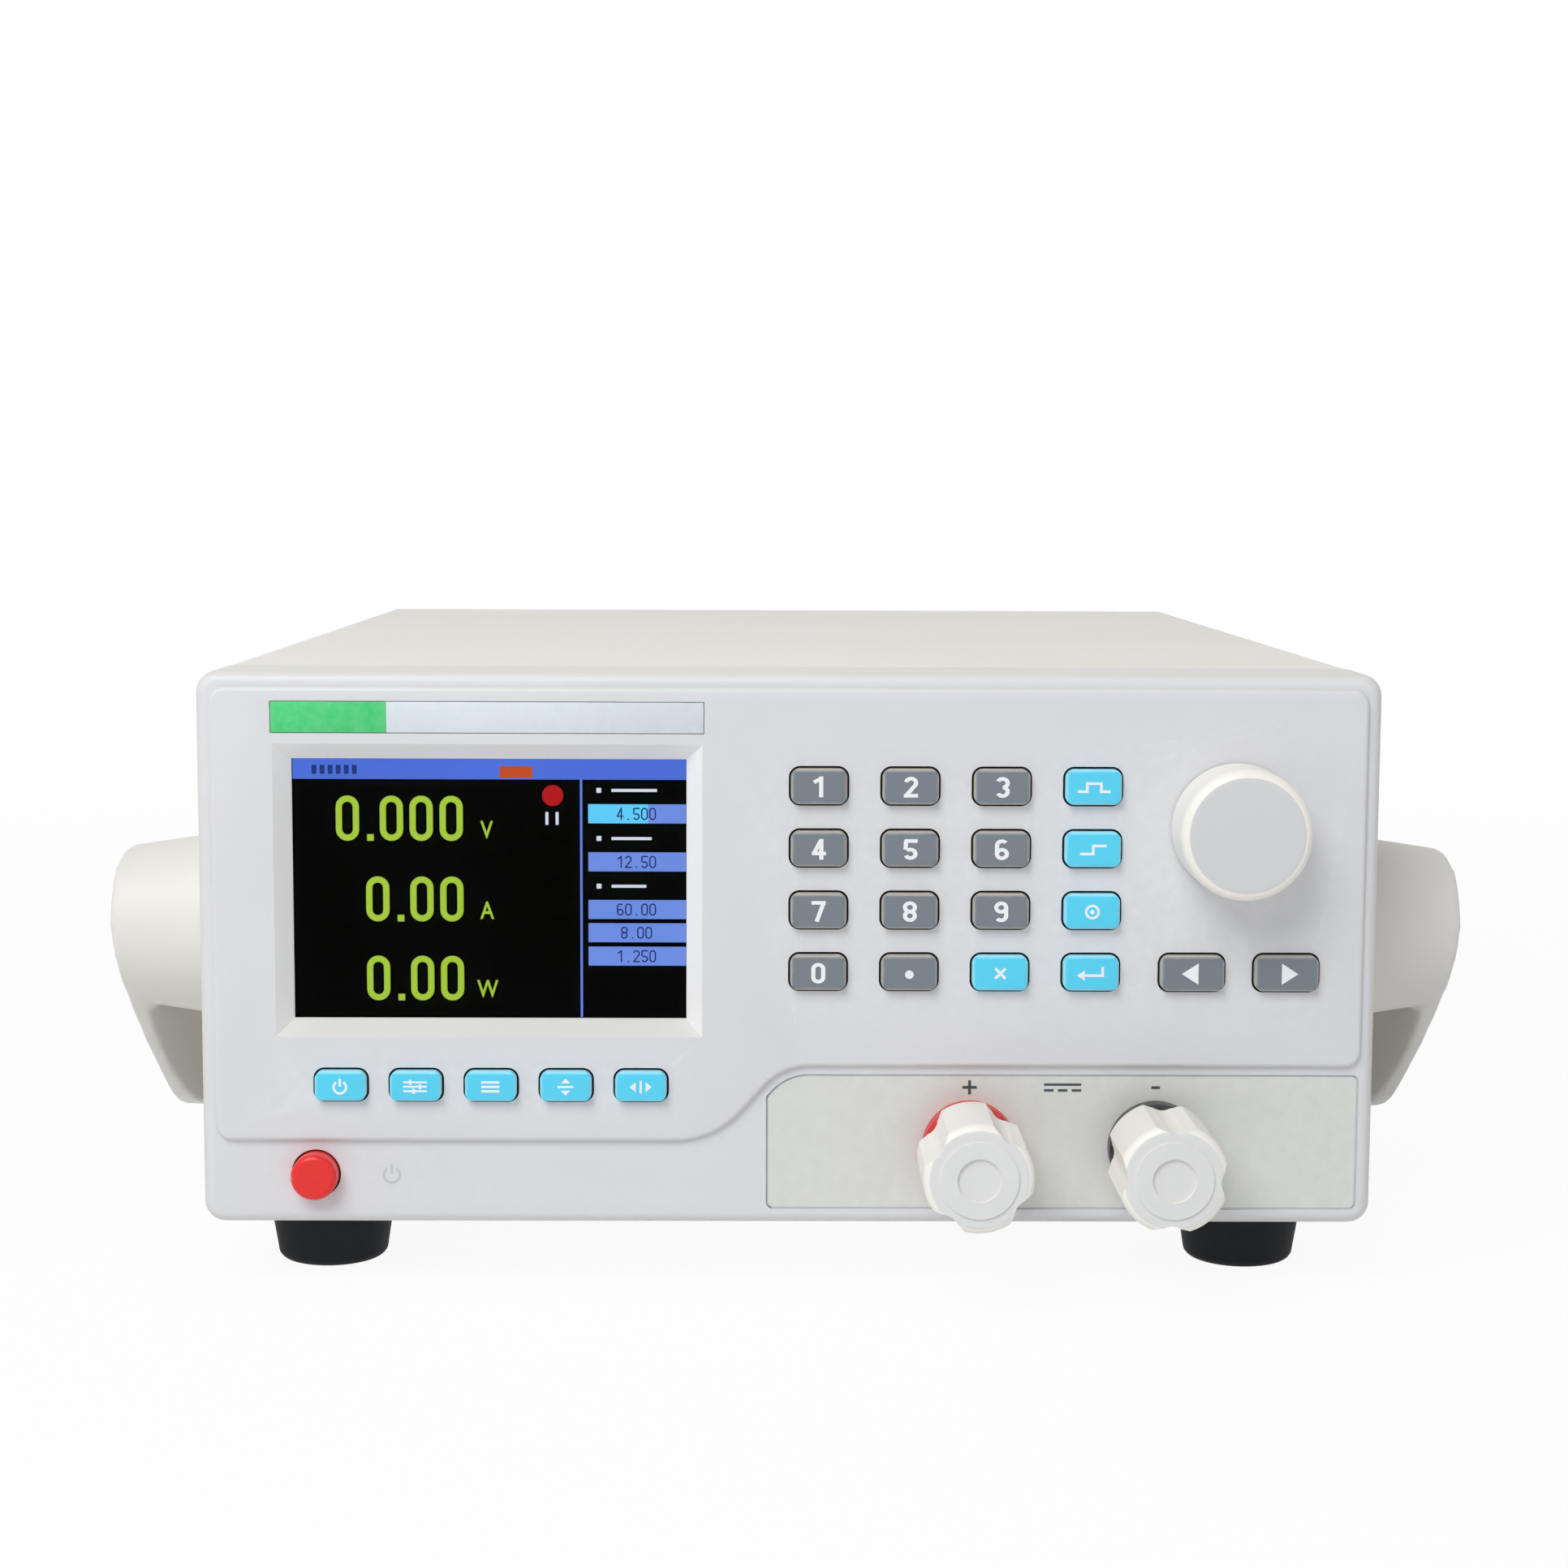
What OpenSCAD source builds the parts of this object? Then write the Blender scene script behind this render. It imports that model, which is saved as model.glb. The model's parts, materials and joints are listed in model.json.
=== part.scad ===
// Bench electronic load: a moulded front with display, keypad, encoder knob and two binding posts
// on a sheet-steel case, a fan-cooled heatsink inside, and a bail handle folded under the case.
// Millimetres. Every piece is drawn in the case frame: x to the right from the middle, y backwards
// from the bezel's border, z upwards from the bezel's underside. place() moves it to the part frame.

/* [Case] */
// Width of the front bezel
case_w = 220; // [212:1:250]
// Height of the front bezel, without the feet
case_h = 104; // [102:1:125]
// Depth from the bezel's border to the back edge of the cover
case_d = 277; // [265:1:330]
// Thickness of the sheet steel
sheet_t = 1.2; // [0.8:0.1:1.6]
// Step from the bezel's outline in to the cover
cover_step = 0.5; // [0.3:0.1:1.2]
// Bend radius of the cover's upper edges
cover_r = 2.2; // [1.8:0.1:5]
// Inset of the rear panel from the cover's back edge
rear_inset = 1; // [0.5:0.1:3]
// Height of the tray's side flanges
tray_flange = 14; // [12:1:24]
// Width of the tray's uprights behind the bezel
tray_upright = 9; // [7:0.5:11]
// Number of vent slots in each side of the cover
vent_count = 12; // [4:1:13]
// Width of a vent slot
vent_w = 3; // [2:0.5:4]
// Length of a vent slot
vent_len = 26; // [12:1:40]
// Distance between vent slots
vent_pitch = 8; // [6:0.5:8.5]
// Distance from the cover's back edge to the last vent slot
vent_from_back = 34; // [28:1:40]

/* [Front bezel] */
// Depth of the moulded bezel
bezel_d = 18; // [17:0.5:24]
// Thickness of the bezel's walls
bezel_wall = 2.5; // [2:0.1:3]
// Corner radius of the bezel's outline
bezel_corner_r = 4; // [3:0.5:7]
// Rounding of the bezel's front edge
bezel_edge_r = 2.2; // [1:0.1:2.6]
// Height of the raised panel above the border
panel_rise = 1.2; // [0.6:0.1:2]
// Width of the border round the raised panel
panel_border = 2.7; // [2.4:0.1:4]
// Corner radius of the raised panel
panel_r = 3; // [2.2:0.1:6]
// Height of the raised panel's low edge
panel_low_z = 16; // [15:0.5:18]
// Height of the raised panel's high edge, over the terminals
panel_high_z = 30.3; // [29:0.1:33]
// Place of the foot of the curve between the low and the high edge
ogee_low_x = -21.5; // [-26:0.5:-18]
// Steepest slope of that curve
ogee_slope = 48; // [35:1:60]
// Radius of the curve's foot
ogee_low_r = 17; // [10:0.5:18]
// Radius of the curve's shoulder
ogee_high_r = 11; // [8:0.5:12]
// Gap between the terminal plate and the raised panel's high edge
plate_gap = 2; // [1.5:0.1:4]
// Left end of the terminal plate
plate_left = -3.8; // [-6:0.1:2]
// Border below and beside the terminal plate
plate_border = 3.2; // [3:0.1:4]
// Corner radius of the terminal plate
plate_r = 1; // [0.6:0.1:3]
// Thickness of the terminal plate
plate_t = 0.5; // [0.3:0.1:0.7]
// Depth of the pocket that holds the terminal plate
plate_pocket = 0.7; // [0.5:0.1:1]
// Groove left round the terminal plate
plate_groove = 0.4; // [0.2:0.1:0.8]
// Length of the pocket for the name strip
strip_w = 80.2; // [40:0.2:84]
// Height of the pocket for the name strip
strip_h = 6; // [4:0.2:6.6]
// Depth of the pocket for the name strip
strip_pocket = 0.4; // [0.2:0.1:0.8]
// Distance from the bezel's top to the middle of the name strip
strip_from_top = 8.3; // [7.6:0.1:8.6]

/* [Display] */
// Width of the display's picture
display_w = 73.4; // [60:0.2:76]
// Height of the display's picture
display_h = 48.9; // [40:0.1:50]
// Distance from the bezel's left side to the middle of the display
display_from_left = 54.1; // [52:0.1:58]
// Distance from the bezel's top to the middle of the display
display_from_top = 40.7; // [40:0.1:41]
// Width of the sloping frame round the display
display_bevel = 3; // [1:0.1:3.4]
// Straight land between the sloping frame and the lens
display_land = 0.5; // [0.2:0.1:1]
// Rim by which the lens and the module reach behind the frame
display_rim = 3.2; // [2:0.1:4]
// Thickness of the lens
lens_t = 1; // [0.6:0.1:2]

/* [Keys] */
// Width of a keypad key
key_w = 10.4; // [8:0.1:11.4]
// Height of a keypad key
key_h = 6.6; // [5:0.1:7.2]
// Corner radius of a key's outline
key_r = 1.7; // [1.2:0.1:2.3]
// Rounding of a key's front edges
key_edge_r = 0.8; // [0.4:0.1:1.1]
// Height of a key above the raised panel
key_rise = 1.8; // [1.4:0.1:3]
// Gap round a key in its opening
key_gap = 0.4; // [0.3:0.05:0.5]
// Travel of a key when it is pressed
key_travel = 1.2; // [0.6:0.1:1.4]
// Width by which a key's back flange reaches past its opening
key_flange = 0.8; // [0.5:0.1:1]
// Distance from the keypad's first column to the case's middle
pad_x = 5.4; // [3:0.1:7]
// Distance from the bezel's top to the keypad's first row
pad_from_top = 20.8; // [19:0.1:22]
// Distance between keypad columns
pad_pitch_x = 16.93; // [15.5:0.01:17.2]
// Distance between keypad rows
pad_pitch_z = 11.6; // [11:0.1:12]
// Width of an arrow key
arrow_w = 11.9; // [9:0.1:12.2]
// Height of an arrow key
arrow_h = 6.7; // [5:0.1:7.2]
// Distance from the bezel's right side to the outer arrow key
arrow_from_right = 17.3; // [16:0.1:17.6]
// Distance between the arrow keys
arrow_pitch = 17.6; // [16:0.1:18]
// Width of a soft key under the display
soft_w = 9.6; // [7:0.1:10]
// Height of a soft key under the display
soft_h = 5.7; // [4:0.1:6]
// Distance from the bezel's left side to the first soft key
soft_from_left = 26.4; // [24:0.1:29]
// Height of the soft keys' row
soft_z = 26.8; // [26:0.1:27.2]
// Distance between the soft keys
soft_pitch = 14; // [13:0.1:14.6]

/* [Encoder knob] */
// Diameter of the knob
knob_d = 24.2; // [16:0.2:26]
// Length of the knob
knob_h = 12.5; // [11:0.5:18]
// Rounding of the knob's front edge
knob_edge_r = 2; // [0.8:0.1:3]
// Gap between the knob and the raised panel
knob_gap = 0.5; // [0.3:0.1:1]
// Distance from the bezel's right side to the knob's axis
knob_from_right = 27.1; // [25:0.1:29]
// Distance from the bezel's top to the knob's axis
knob_from_top = 28.4; // [26:0.1:30]
// Diameter of the encoder's shaft
shaft_d = 6; // [4:0.5:6]
// Diameter of the encoder's bushing
bushing_d = 7.6; // [7.2:0.1:9]
// Side of the encoder's housing
encoder_w = 12.5; // [10:0.5:14]

/* [Power button] */
// Diameter of the power button
power_d = 8.7; // [7:0.1:9.4]
// Height of the power button above the border
power_rise = 4; // [3.4:0.1:5]
// Gap round the power button
power_gap = 0.3; // [0.3:0.05:0.6]
// Distance from the bezel's left side to the button's axis
power_from_left = 21.3; // [19:0.1:24]
// Height of the power button's axis
power_z = 9.5; // [9:0.1:10]
// Length of the power switch
switch_len = 18; // [14:1:20]
// Side of the power switch
switch_w = 13; // [11:0.5:13]

/* [Binding posts] */
// Distance from the bezel's right side to the right-hand post
post_from_right = 41; // [36:0.5:43]
// Distance between the two posts
post_pitch = 35; // [30:0.5:38]
// Height of the posts' axes
post_z = 14.8; // [14:0.1:15.6]
// Diameter of a post's insulating base
base_d = 17.8; // [16:0.2:19]
// Height of the base above the border
base_rise = 4; // [3:0.2:6]
// Diameter of the base's neck through the bezel
neck_d = 12.4; // [10:0.2:13]
// Diameter of the stud
stud_d = 6; // [5:0.5:6.5]
// Diameter of the clamp ring under the cap
ring_d = 14.4; // [12:0.2:15]
// Thickness of the clamp ring
ring_t = 1.2; // [0.8:0.1:2]
// Diameter over the lobes of a cap
cap_d = 20.2; // [18:0.2:21]
// Length of a cap
cap_len = 20.2; // [16:0.2:22]
// Depth of a cap's flutes
flute_depth = 1.7; // [1:0.1:2.2]
// Rounding of a cap's front edge
cap_edge_r = 1.6; // [0.8:0.1:2.2]
// Diameter of the round dish in a cap's front
dish_d = 8; // [4:0.2:9]
// Turn of the left-hand cap
cap_turn_left = 10; // [0:1:89]
// Turn of the right-hand cap
cap_turn_right = 43; // [0:1:89]

/* [Handle] */
// Distance of the handle's pivot behind the bezel's border
pivot_y = 50; // [46:0.5:54]
// Height of the handle's pivot
pivot_z = 49.3; // [47:0.1:50]
// Distance that the handle stands out from the cover's side
handle_out = 25.2; // [24:0.1:30]
// Diameter of the pivot hub at the cover
hub_d = 38.6; // [34:0.2:40]
// Diameter of the pivot hub at its outer end
hub_outer_d = 31.2; // [28:0.2:33]
// Gap between the hub and the cover
hub_gap = 0.5; // [0.3:0.1:1]
// Thickness of an arm's blade in its middle
arm_t = 5.5; // [4:0.1:7]
// Height of the dome across an arm's outer face
arm_dome = 1.8; // [1:0.1:2.5]
// Radius by which an arm bends in towards the grip bar
arm_bend_r = 444; // [350:1:800]
// Radius of an arm's bowed lower edge
arm_bow_r = 143; // [120:1:300]
// Thickness of the block at the end of an arm that holds the grip bar
arm_block = 9; // [8:0.1:10]
// Cover of plastic over the end of the pivot pin
pin_cover = 8; // [6:0.1:10]
// Distance of the grip bar behind the bezel's border
grip_y = 143; // [140:0.5:160]
// Width of the grip bar
grip_w = 22; // [16:0.5:23]
// Thickness of the grip bar
grip_h = 10; // [8:0.2:10.2]
// Gap between the grip bar and the tray
grip_gap = 2; // [1.5:0.1:2.4]
// Diameter of the pivot pin
pin_d = 14; // [10:0.5:16]
// Diameter of the pivot pin's flange
pin_flange_d = 24; // [20:0.5:28]

/* [Feet] */
// Height of a foot below the tray
foot_h = 13; // [13:0.1:18]
// Diameter of a foot at the tray
foot_top_d = 25; // [20:0.5:27]
// Diameter of a foot at its lower end
foot_low_d = 21.5; // [18:0.5:24]
// Rounding of a foot's lower edge
foot_edge_r = 2; // [0.5:0.1:3]
// Distance from the bezel's side to a foot's axis
foot_from_side = 20.5; // [18:0.5:26]
// Distance of the front feet behind the bezel's border
foot_front_y = 26; // [24:0.5:38]
// Distance of the rear feet from the cover's back edge
foot_from_back = 32; // [24:0.5:50]

/* [Rear] */
// Side of the fan's frame
fan_w = 80; // [70:1:84]
// Depth of the fan
fan_d = 25; // [20:0.5:32]
// Distance between the fan's screws
fan_screw_pitch = 71.5; // [64:0.5:72]
// Distance of the fan's axis to the right of the middle
fan_x = 42; // [38:0.5:52]
// Number of fan blades
blade_count = 7; // [5:1:9]
// Height of the finger guard over the rear panel
guard_rise = 4; // [3.5:0.1:6]
// Number of rings in the finger guard
guard_rings = 4; // [3:1:5]
// Distance of the mains inlet's middle from the case's side
inlet_side = 44; // [38:0.5:50]
// Height of the mains inlet
inlet_z = 36; // [30:0.5:40]
// Distance of the serial port's middle from the case's side
serial_side = 44; // [38:0.5:50]
// Height of the serial port
serial_z = 76; // [70:0.5:82]

/* [Inside] */
// Length of the heatsink
sink_len = 130; // [100:1:132]
// Width of the heatsink
sink_w = 80; // [70:1:84]
// Thickness of the heatsink's base
sink_base = 8; // [6:0.5:10]
// Number of heatsink fins
fin_count = 11; // [6:1:14]
// Thickness of a fin
fin_t = 2; // [1.5:0.1:2.6]
// Number of power transistors on the heatsink
transistor_count = 5; // [2:1:5]
// Thickness of the circuit boards
board_t = 1.6; // [1:0.1:2]
// Height of the main board's spacers
spacer_h = 6.5; // [5:0.5:8]
// Distance between the bezel's plate and the front board
board_gap = 5.5; // [5:0.1:6.2]
// Thickness of the rubber key mat
mat_t = 2; // [1.4:0.1:2.2]
// Thickness of the busbars
bar_t = 2; // [1.5:0.1:2.4]

/* [Hidden] */
$fn = 64;

// Overshoot of a cut past the face that it opens
cut = 1;
// Radial clearance of a shaft or pin that turns in its bore
run_clear = 0.05;
// Clearance of a piece that moves past another
slide_clear = 0.3;

// Colours
cream = [0.90, 0.89, 0.86];
shell_white = [0.85, 0.86, 0.87];
key_grey = [0.50, 0.52, 0.54];
key_blue = [0.32, 0.80, 0.94];
rubber_black = [0.11, 0.12, 0.13];
steel = [0.75, 0.76, 0.78];
brass = [0.80, 0.66, 0.36];
board_green = [0.10, 0.36, 0.22];

// Case surfaces
cover_half = case_w / 2 - cover_step;
cover_top = case_h - cover_step;
inner_half = cover_half - sheet_t;
inner_top = cover_top - sheet_t;
floor_z = sheet_t;
ground_z = -foot_h;
rear_face = case_d - rear_inset;
rear_in = rear_face - sheet_t;
rear_flange = 7;

// Raised panel and terminal plate
panel_half = case_w / 2 - panel_border;
panel_top = case_h - panel_border;
panel_y = -panel_rise;
ogee_radii = ogee_low_r + ogee_high_r;
ogee_straight = (panel_high_z - panel_low_z - ogee_radii * (1 - cos(ogee_slope))) / sin(ogee_slope);
ogee_high_x = ogee_low_x + ogee_radii * sin(ogee_slope) + ogee_straight * cos(ogee_slope);
ogee_low_c = [ogee_low_x, panel_low_z + ogee_low_r];
ogee_high_c = [ogee_high_x, panel_high_z - ogee_high_r];
plate_y = plate_pocket - plate_t;

// Places on the front
display_x = display_from_left - case_w / 2;
display_z = case_h - display_from_top;
knob_x = case_w / 2 - knob_from_right;
knob_z = case_h - knob_from_top;
power_x = power_from_left - case_w / 2;
post_right_x = case_w / 2 - post_from_right;
post_left_x = post_right_x - post_pitch;
arrow_right_x = case_w / 2 - arrow_from_right;
pad_top_z = case_h - pad_from_top;
pad_low_z = pad_top_z - 3 * pad_pitch_z;
soft_left_x = soft_from_left - case_w / 2;

// Levels behind the bezel's plate
board_y = bezel_wall + board_gap;
mat_y = board_y - mat_t;
flange_t = 1.2;
knob_face = 3;
plunger_w = 4;
stem_end = board_y - key_travel - slide_clear;

// Binding posts, as distances in front of the border
ring_front = base_rise + slide_clear + ring_t;
cap_back = ring_front + slide_clear;
cap_front = cap_back + cap_len;
stud_front = cap_front - 4;
lug_y = board_y;
nut_t = 5;
nut_d = 11.5;

// Handle
grip_z = -grip_gap - grip_h / 2;
arm_out_x = cover_half + handle_out;
arm_len = norm([grip_y - pivot_y, grip_z - pivot_z]);
arm_in_x = arm_out_x - arm_bend_r + sqrt(arm_bend_r * arm_bend_r - arm_len * arm_len) - arm_block;
hub_in_x = cover_half + hub_gap;
grip_end_r = grip_h / 2;
grip_half = grip_w / 2 - grip_end_r;
pivot = [pivot_y, pivot_z];
grip_front = [grip_y - grip_half, grip_z];
grip_back = [grip_y + grip_half, grip_z];
arm_angle = atan2(grip_z - pivot_z, grip_y - pivot_y);
pin_flange_t = 2;
pin_end_x = arm_out_x - pin_cover;
tail_d = 8;
tenon_len = 4;
tenon_inset = 2.5;
block_step = 0.5;

// Rear and inside
inlet_x = case_w / 2 - inlet_side;
serial_x = case_w / 2 - serial_side;
fan_z = (floor_z + inner_top) / 2;
fan_front_y = rear_in - fan_d;
fan_bore_r = fan_w / 2 - 2;
fan_hub_r = 16;
fan_pin_r = 2;
fan_spoke_h = 3;
fan_spoke_inset = 0.3;
guard_wire_r = 1;
sink_x = fan_x - sink_w / 2;
sink_y = fan_front_y - 4 - sink_len;
main_board_z = floor_z + spacer_h;
main_board_top = main_board_z + board_t;
strip_y0 = 62;
strip_y1 = strip_y0 + 40;
foot_x = case_w / 2 - foot_from_side;
foot_rear_y = case_d - foot_from_back;
foot_places = [for (x = [-foot_x, foot_x], y = [foot_front_y, foot_rear_y]) [x, y]];
foot_screw_d = 4;
foot_well_h = 7;
screw_d = 3;
side_screw_z = floor_z + 8;
side_screw_ys = [26, case_d - 14];
back_reach = rear_face + guard_rise;

// Moves a piece from the case frame to the part frame, with the origin at the middle of the base
module place() {
    translate([0, (cap_front - back_reach) / 2, -ground_z]) children();
}

// Unit vector at an angle
function dir(a) = [cos(a), sin(a)];

// Points of an arc about c from angle a0 to a1
function arc(c, r, a0, a1, n = 8) = [for (i = [0:n]) c + r * dir(a0 + (a1 - a0) * i / n)];

// Rounded rectangle from corner lo to corner hi as a list of points, anticlockwise
function round_outline(lo, hi, r) = concat(
    arc([lo[0] + r, lo[1] + r], r, 180, 270, 6),
    arc([hi[0] - r, lo[1] + r], r, 270, 360, 6),
    arc([hi[0] - r, hi[1] - r], r, 0, 90, 6),
    arc([lo[0] + r, hi[1] - r], r, 90, 180, 6));

// Outline of the raised panel, drawn in by inset
function panel_outline(inset) = concat(
    arc([panel_r - panel_half, panel_low_z + panel_r], panel_r - inset, 180, 270, 6),
    arc(ogee_low_c, ogee_low_r - inset, 270, 270 + ogee_slope, 10),
    arc(ogee_high_c, ogee_high_r + inset, 90 + ogee_slope, 90, 10),
    arc([panel_half - panel_r, panel_high_z + panel_r], panel_r - inset, 270, 360, 6),
    arc([panel_half - panel_r, panel_top - panel_r], panel_r - inset, 0, 90, 6),
    arc([panel_r - panel_half, panel_top - panel_r], panel_r - inset, 90, 180, 6));

// Outline of the terminal plate, grown by grow; its shoulder runs beside the raised panel's curve
function plate_outline(grow) =
    let (lo = [plate_left - grow, plate_border - grow],
         hi = [case_w / 2 - plate_border + grow, panel_high_z - plate_gap + grow],
         r = plate_r + grow,
         shoulder_r = ogee_high_r - plate_gap + grow,
         foot = ogee_high_c + shoulder_r * dir(90 + ogee_slope))
    concat(
        arc([lo[0] + r, lo[1] + r], r, 180, 270, 6),
        arc([hi[0] - r, lo[1] + r], r, 270, 360, 6),
        arc([hi[0] - r, hi[1] - r], r, 0, 90, 6),
        arc(ogee_high_c, shoulder_r, 90, 90 + ogee_slope, 10),
        [[lo[0], foot[1] - (foot[0] - lo[0]) * tan(ogee_slope)]]);

// Angles of the radii to the two outer tangents of two circles, left and right of the way from c1 to c2
function tangent_angles(c1, r1, c2, r2) =
    let (d = c2 - c1, a = atan2(d[1], d[0]), b = acos((r1 - r2) / norm(d)))
    [a + b, a - b];

// Solid through like outlines in x and z, from the back to the front
module loft(outlines, levels) {
    n = len(outlines[0]);
    last = len(outlines) - 1;
    points = [for (k = [0:last], p = outlines[k]) [p[0], levels[k], p[1]]];
    sides = [for (k = [0:last - 1], i = [0:n - 1])
        let (j = (i + 1) % n) [k * n + i, (k + 1) * n + i, (k + 1) * n + j, k * n + j]];
    back = [[for (i = [0:n - 1]) i]];
    front = [[for (i = [0:n - 1]) last * n + n - 1 - i]];
    polyhedron(points, concat(sides, back, front), convexity = 6);
}

// Extrudes an outline in x and z along y
module along_y(y, depth) {
    translate([0, y + depth, 0]) rotate([90, 0, 0]) linear_extrude(depth, convexity = 8) children();
}

// Extrudes an outline in y and z along x
module along_x(x, depth) {
    translate([x, 0, 0]) rotate([90, 0, 90]) linear_extrude(depth, convexity = 8) children();
}

// Frame with its z axis pointing out of the front at a place on it
module facing(x, z) {
    translate([x, 0, z]) rotate([90, 0, 0]) children();
}

// Frame with its z axis pointing out of the rear panel's outer face
module backing(x, z) {
    translate([x, rear_face, z]) rotate([-90, 0, 0]) children();
}

// Rectangle with round corners, about the origin
module round_rect(w, h, r) {
    square([w, h - 2 * r], center = true);
    square([w - 2 * r, h], center = true);
    for (x = [-1, 1], y = [-1, 1]) translate([x * (w / 2 - r), y * (h / 2 - r)]) circle(r);
}

// Slot with round ends along the second axis
module slot(w, l) {
    square([w, l - w], center = true);
    for (s = [-1, 1]) translate([0, s * (l - w) / 2]) circle(w / 2);
}

// Rectangle from front to back with its two front corners rounded
module round_front(w, front, back, r) {
    translate([-w / 2, front + r]) square([w, back - front - r]);
    translate([r - w / 2, front]) square([w - 2 * r, back - front]);
    for (s = [-1, 1]) translate([s * (w / 2 - r), front + r]) circle(r);
}

// Tube about the z axis
module tube(r, bore_r, h) {
    difference() {
        cylinder(r = r, h = h);
        translate([0, 0, -cut]) cylinder(r = bore_r, h = h + 2 * cut);
    }
}

// Bezel: a lofted block with a rounded front edge
module bezel_block() {
    steps = 5;
    angles = [for (i = [0:steps]) 90 * i / steps];
    insets = concat([0], [for (a = angles) bezel_edge_r * (1 - cos(a))]);
    levels = concat([bezel_d], [for (a = angles) bezel_edge_r * (1 - sin(a))]);
    loft([for (d = insets)
        round_outline([d - case_w / 2, d], [case_w / 2 - d, case_h - d], bezel_corner_r - d)], levels);
}

// Raised panel: a lofted pad with a rounded edge
module raised_panel() {
    steps = 4;
    edge_r = panel_rise * 0.75;
    angles = [for (i = [0:steps]) 90 * i / steps];
    insets = concat([0], [for (a = angles) edge_r * (1 - cos(a))]);
    levels = concat([bezel_wall / 2], [for (a = angles) panel_y + edge_r * (1 - sin(a))]);
    loft([for (d = insets) panel_outline(d)], levels);
}

// Opening for the display: a straight land over the lens and a sloping frame in front of it
module display_opening() {
    slope_depth = panel_rise + bezel_wall - display_land;
    flare = display_bevel * (1 + cut / slope_depth);
    corners = [[-1, -1], [1, -1], [1, 1], [-1, 1]];
    translate([display_x, 0, display_z])
        loft([for (d = [0, 0, flare])
            [for (c = corners) [c[0] * (display_w / 2 + d), c[1] * (display_h / 2 + d)]]],
            [bezel_wall + cut, bezel_wall - display_land, panel_y - cut]);
}

// The keys: name, x, z, width, height, colour
pad_names = [
    ["key_1", "key_2", "key_3", "key_function_1"],
    ["key_4", "key_5", "key_6", "key_function_2"],
    ["key_7", "key_8", "key_9", "key_function_3"],
    ["key_0", "key_point", "key_function_4", "key_function_5"]
];
pad_keys = [for (row = [0:3], col = [0:3])
    [pad_names[row][col], pad_x + col * pad_pitch_x, pad_top_z - row * pad_pitch_z, key_w, key_h,
        col == 3 || row == 3 && col == 2 ? key_blue : key_grey]];
arrow_keys = [for (i = [0, 1])
    [["key_left", "key_right"][i], arrow_right_x - (1 - i) * arrow_pitch, pad_low_z, arrow_w, arrow_h,
        key_grey]];
soft_keys = [for (i = [0:4])
    [str("soft_key_", i + 1), soft_left_x + i * soft_pitch, soft_z, soft_w, soft_h, key_blue]];
keys = concat(pad_keys, arrow_keys, soft_keys);

// One key: a cap with soft edges, a flange that keeps it in, and a stem down to the key mat
module key(x, z, w, h, tint) {
    front = panel_y - key_rise;
    flange_y = bezel_wall + slide_clear;
    reach = 2 * (key_gap + key_flange);
    color(tint) translate([x, 0, z]) {
        intersection() {
            along_y(front, flange_y - front) round_rect(w, h, key_r);
            along_x(-w / 2, w) rotate(90) mirror([0, 1]) round_front(h, front, flange_y, key_edge_r);
            translate([0, 0, -h / 2]) linear_extrude(h) round_front(w, front, flange_y, key_edge_r);
        }
        along_y(flange_y, flange_t) round_rect(w + reach, h + reach, key_r);
        along_y(flange_y, stem_end - flange_y) round_rect(w / 2, h / 2, key_r / 2);
    }
}

// Posts on the bezel's back that carry the front board
boss_places = [
    [-case_w / 2 + 8, case_h - 9], [-case_w / 2 + 8, panel_low_z + 6.5],
    [pad_x - 12, case_h - 9], [pad_x - 12, panel_high_z + 8],
    [case_w / 2 - 8, case_h - 9], [case_w / 2 - 8, panel_high_z + 8]
];
boss_d = 6;
boss_hole_d = 2.5;
boss_root = 0.6;

module front_bezel() {
    color(shell_white) difference() {
        union() {
            difference() {
                bezel_block();
                along_y(bezel_wall, bezel_d) translate([0, case_h / 2])
                    round_rect(case_w - 2 * bezel_wall, case_h - 2 * bezel_wall, bezel_corner_r / 2);
            }
            raised_panel();
            for (p = boss_places) along_y(bezel_wall - boss_root, board_gap + boss_root)
                translate(p) circle(d = boss_d);
        }
        for (p = boss_places) along_y(bezel_wall, board_y) translate(p) circle(d = boss_hole_d);
        display_opening();
        for (k = keys) along_y(panel_y - cut, bezel_wall + panel_rise + 2 * cut)
            translate([k[1], k[2]]) round_rect(k[3] + 2 * key_gap, k[4] + 2 * key_gap, key_r + key_gap);
        facing(knob_x, knob_z) translate([0, 0, -bezel_wall - cut])
            cylinder(d = bushing_d + 2 * slide_clear, h = bezel_wall + panel_rise + 2 * cut);
        facing(power_x, power_z) translate([0, 0, -bezel_wall - cut])
            cylinder(d = power_d + 2 * power_gap, h = bezel_wall + 2 * cut);
        for (x = [post_left_x, post_right_x]) facing(x, post_z) translate([0, 0, -bezel_wall - cut])
            cylinder(d = neck_d + 2 * run_clear, h = bezel_wall + 2 * cut);
        along_y(-cut, plate_pocket + cut) polygon(plate_outline(plate_groove));
        along_y(panel_y - cut, strip_pocket + cut) translate([display_x, case_h - strip_from_top])
            square([strip_w, strip_h], center = true);
    }
}

module display_lens() {
    color([0.2, 0.22, 0.25]) translate([display_x, 0, display_z]) along_y(bezel_wall, lens_t)
        square([display_w + 2 * display_rim, display_h + 2 * display_rim], center = true);
}

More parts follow.
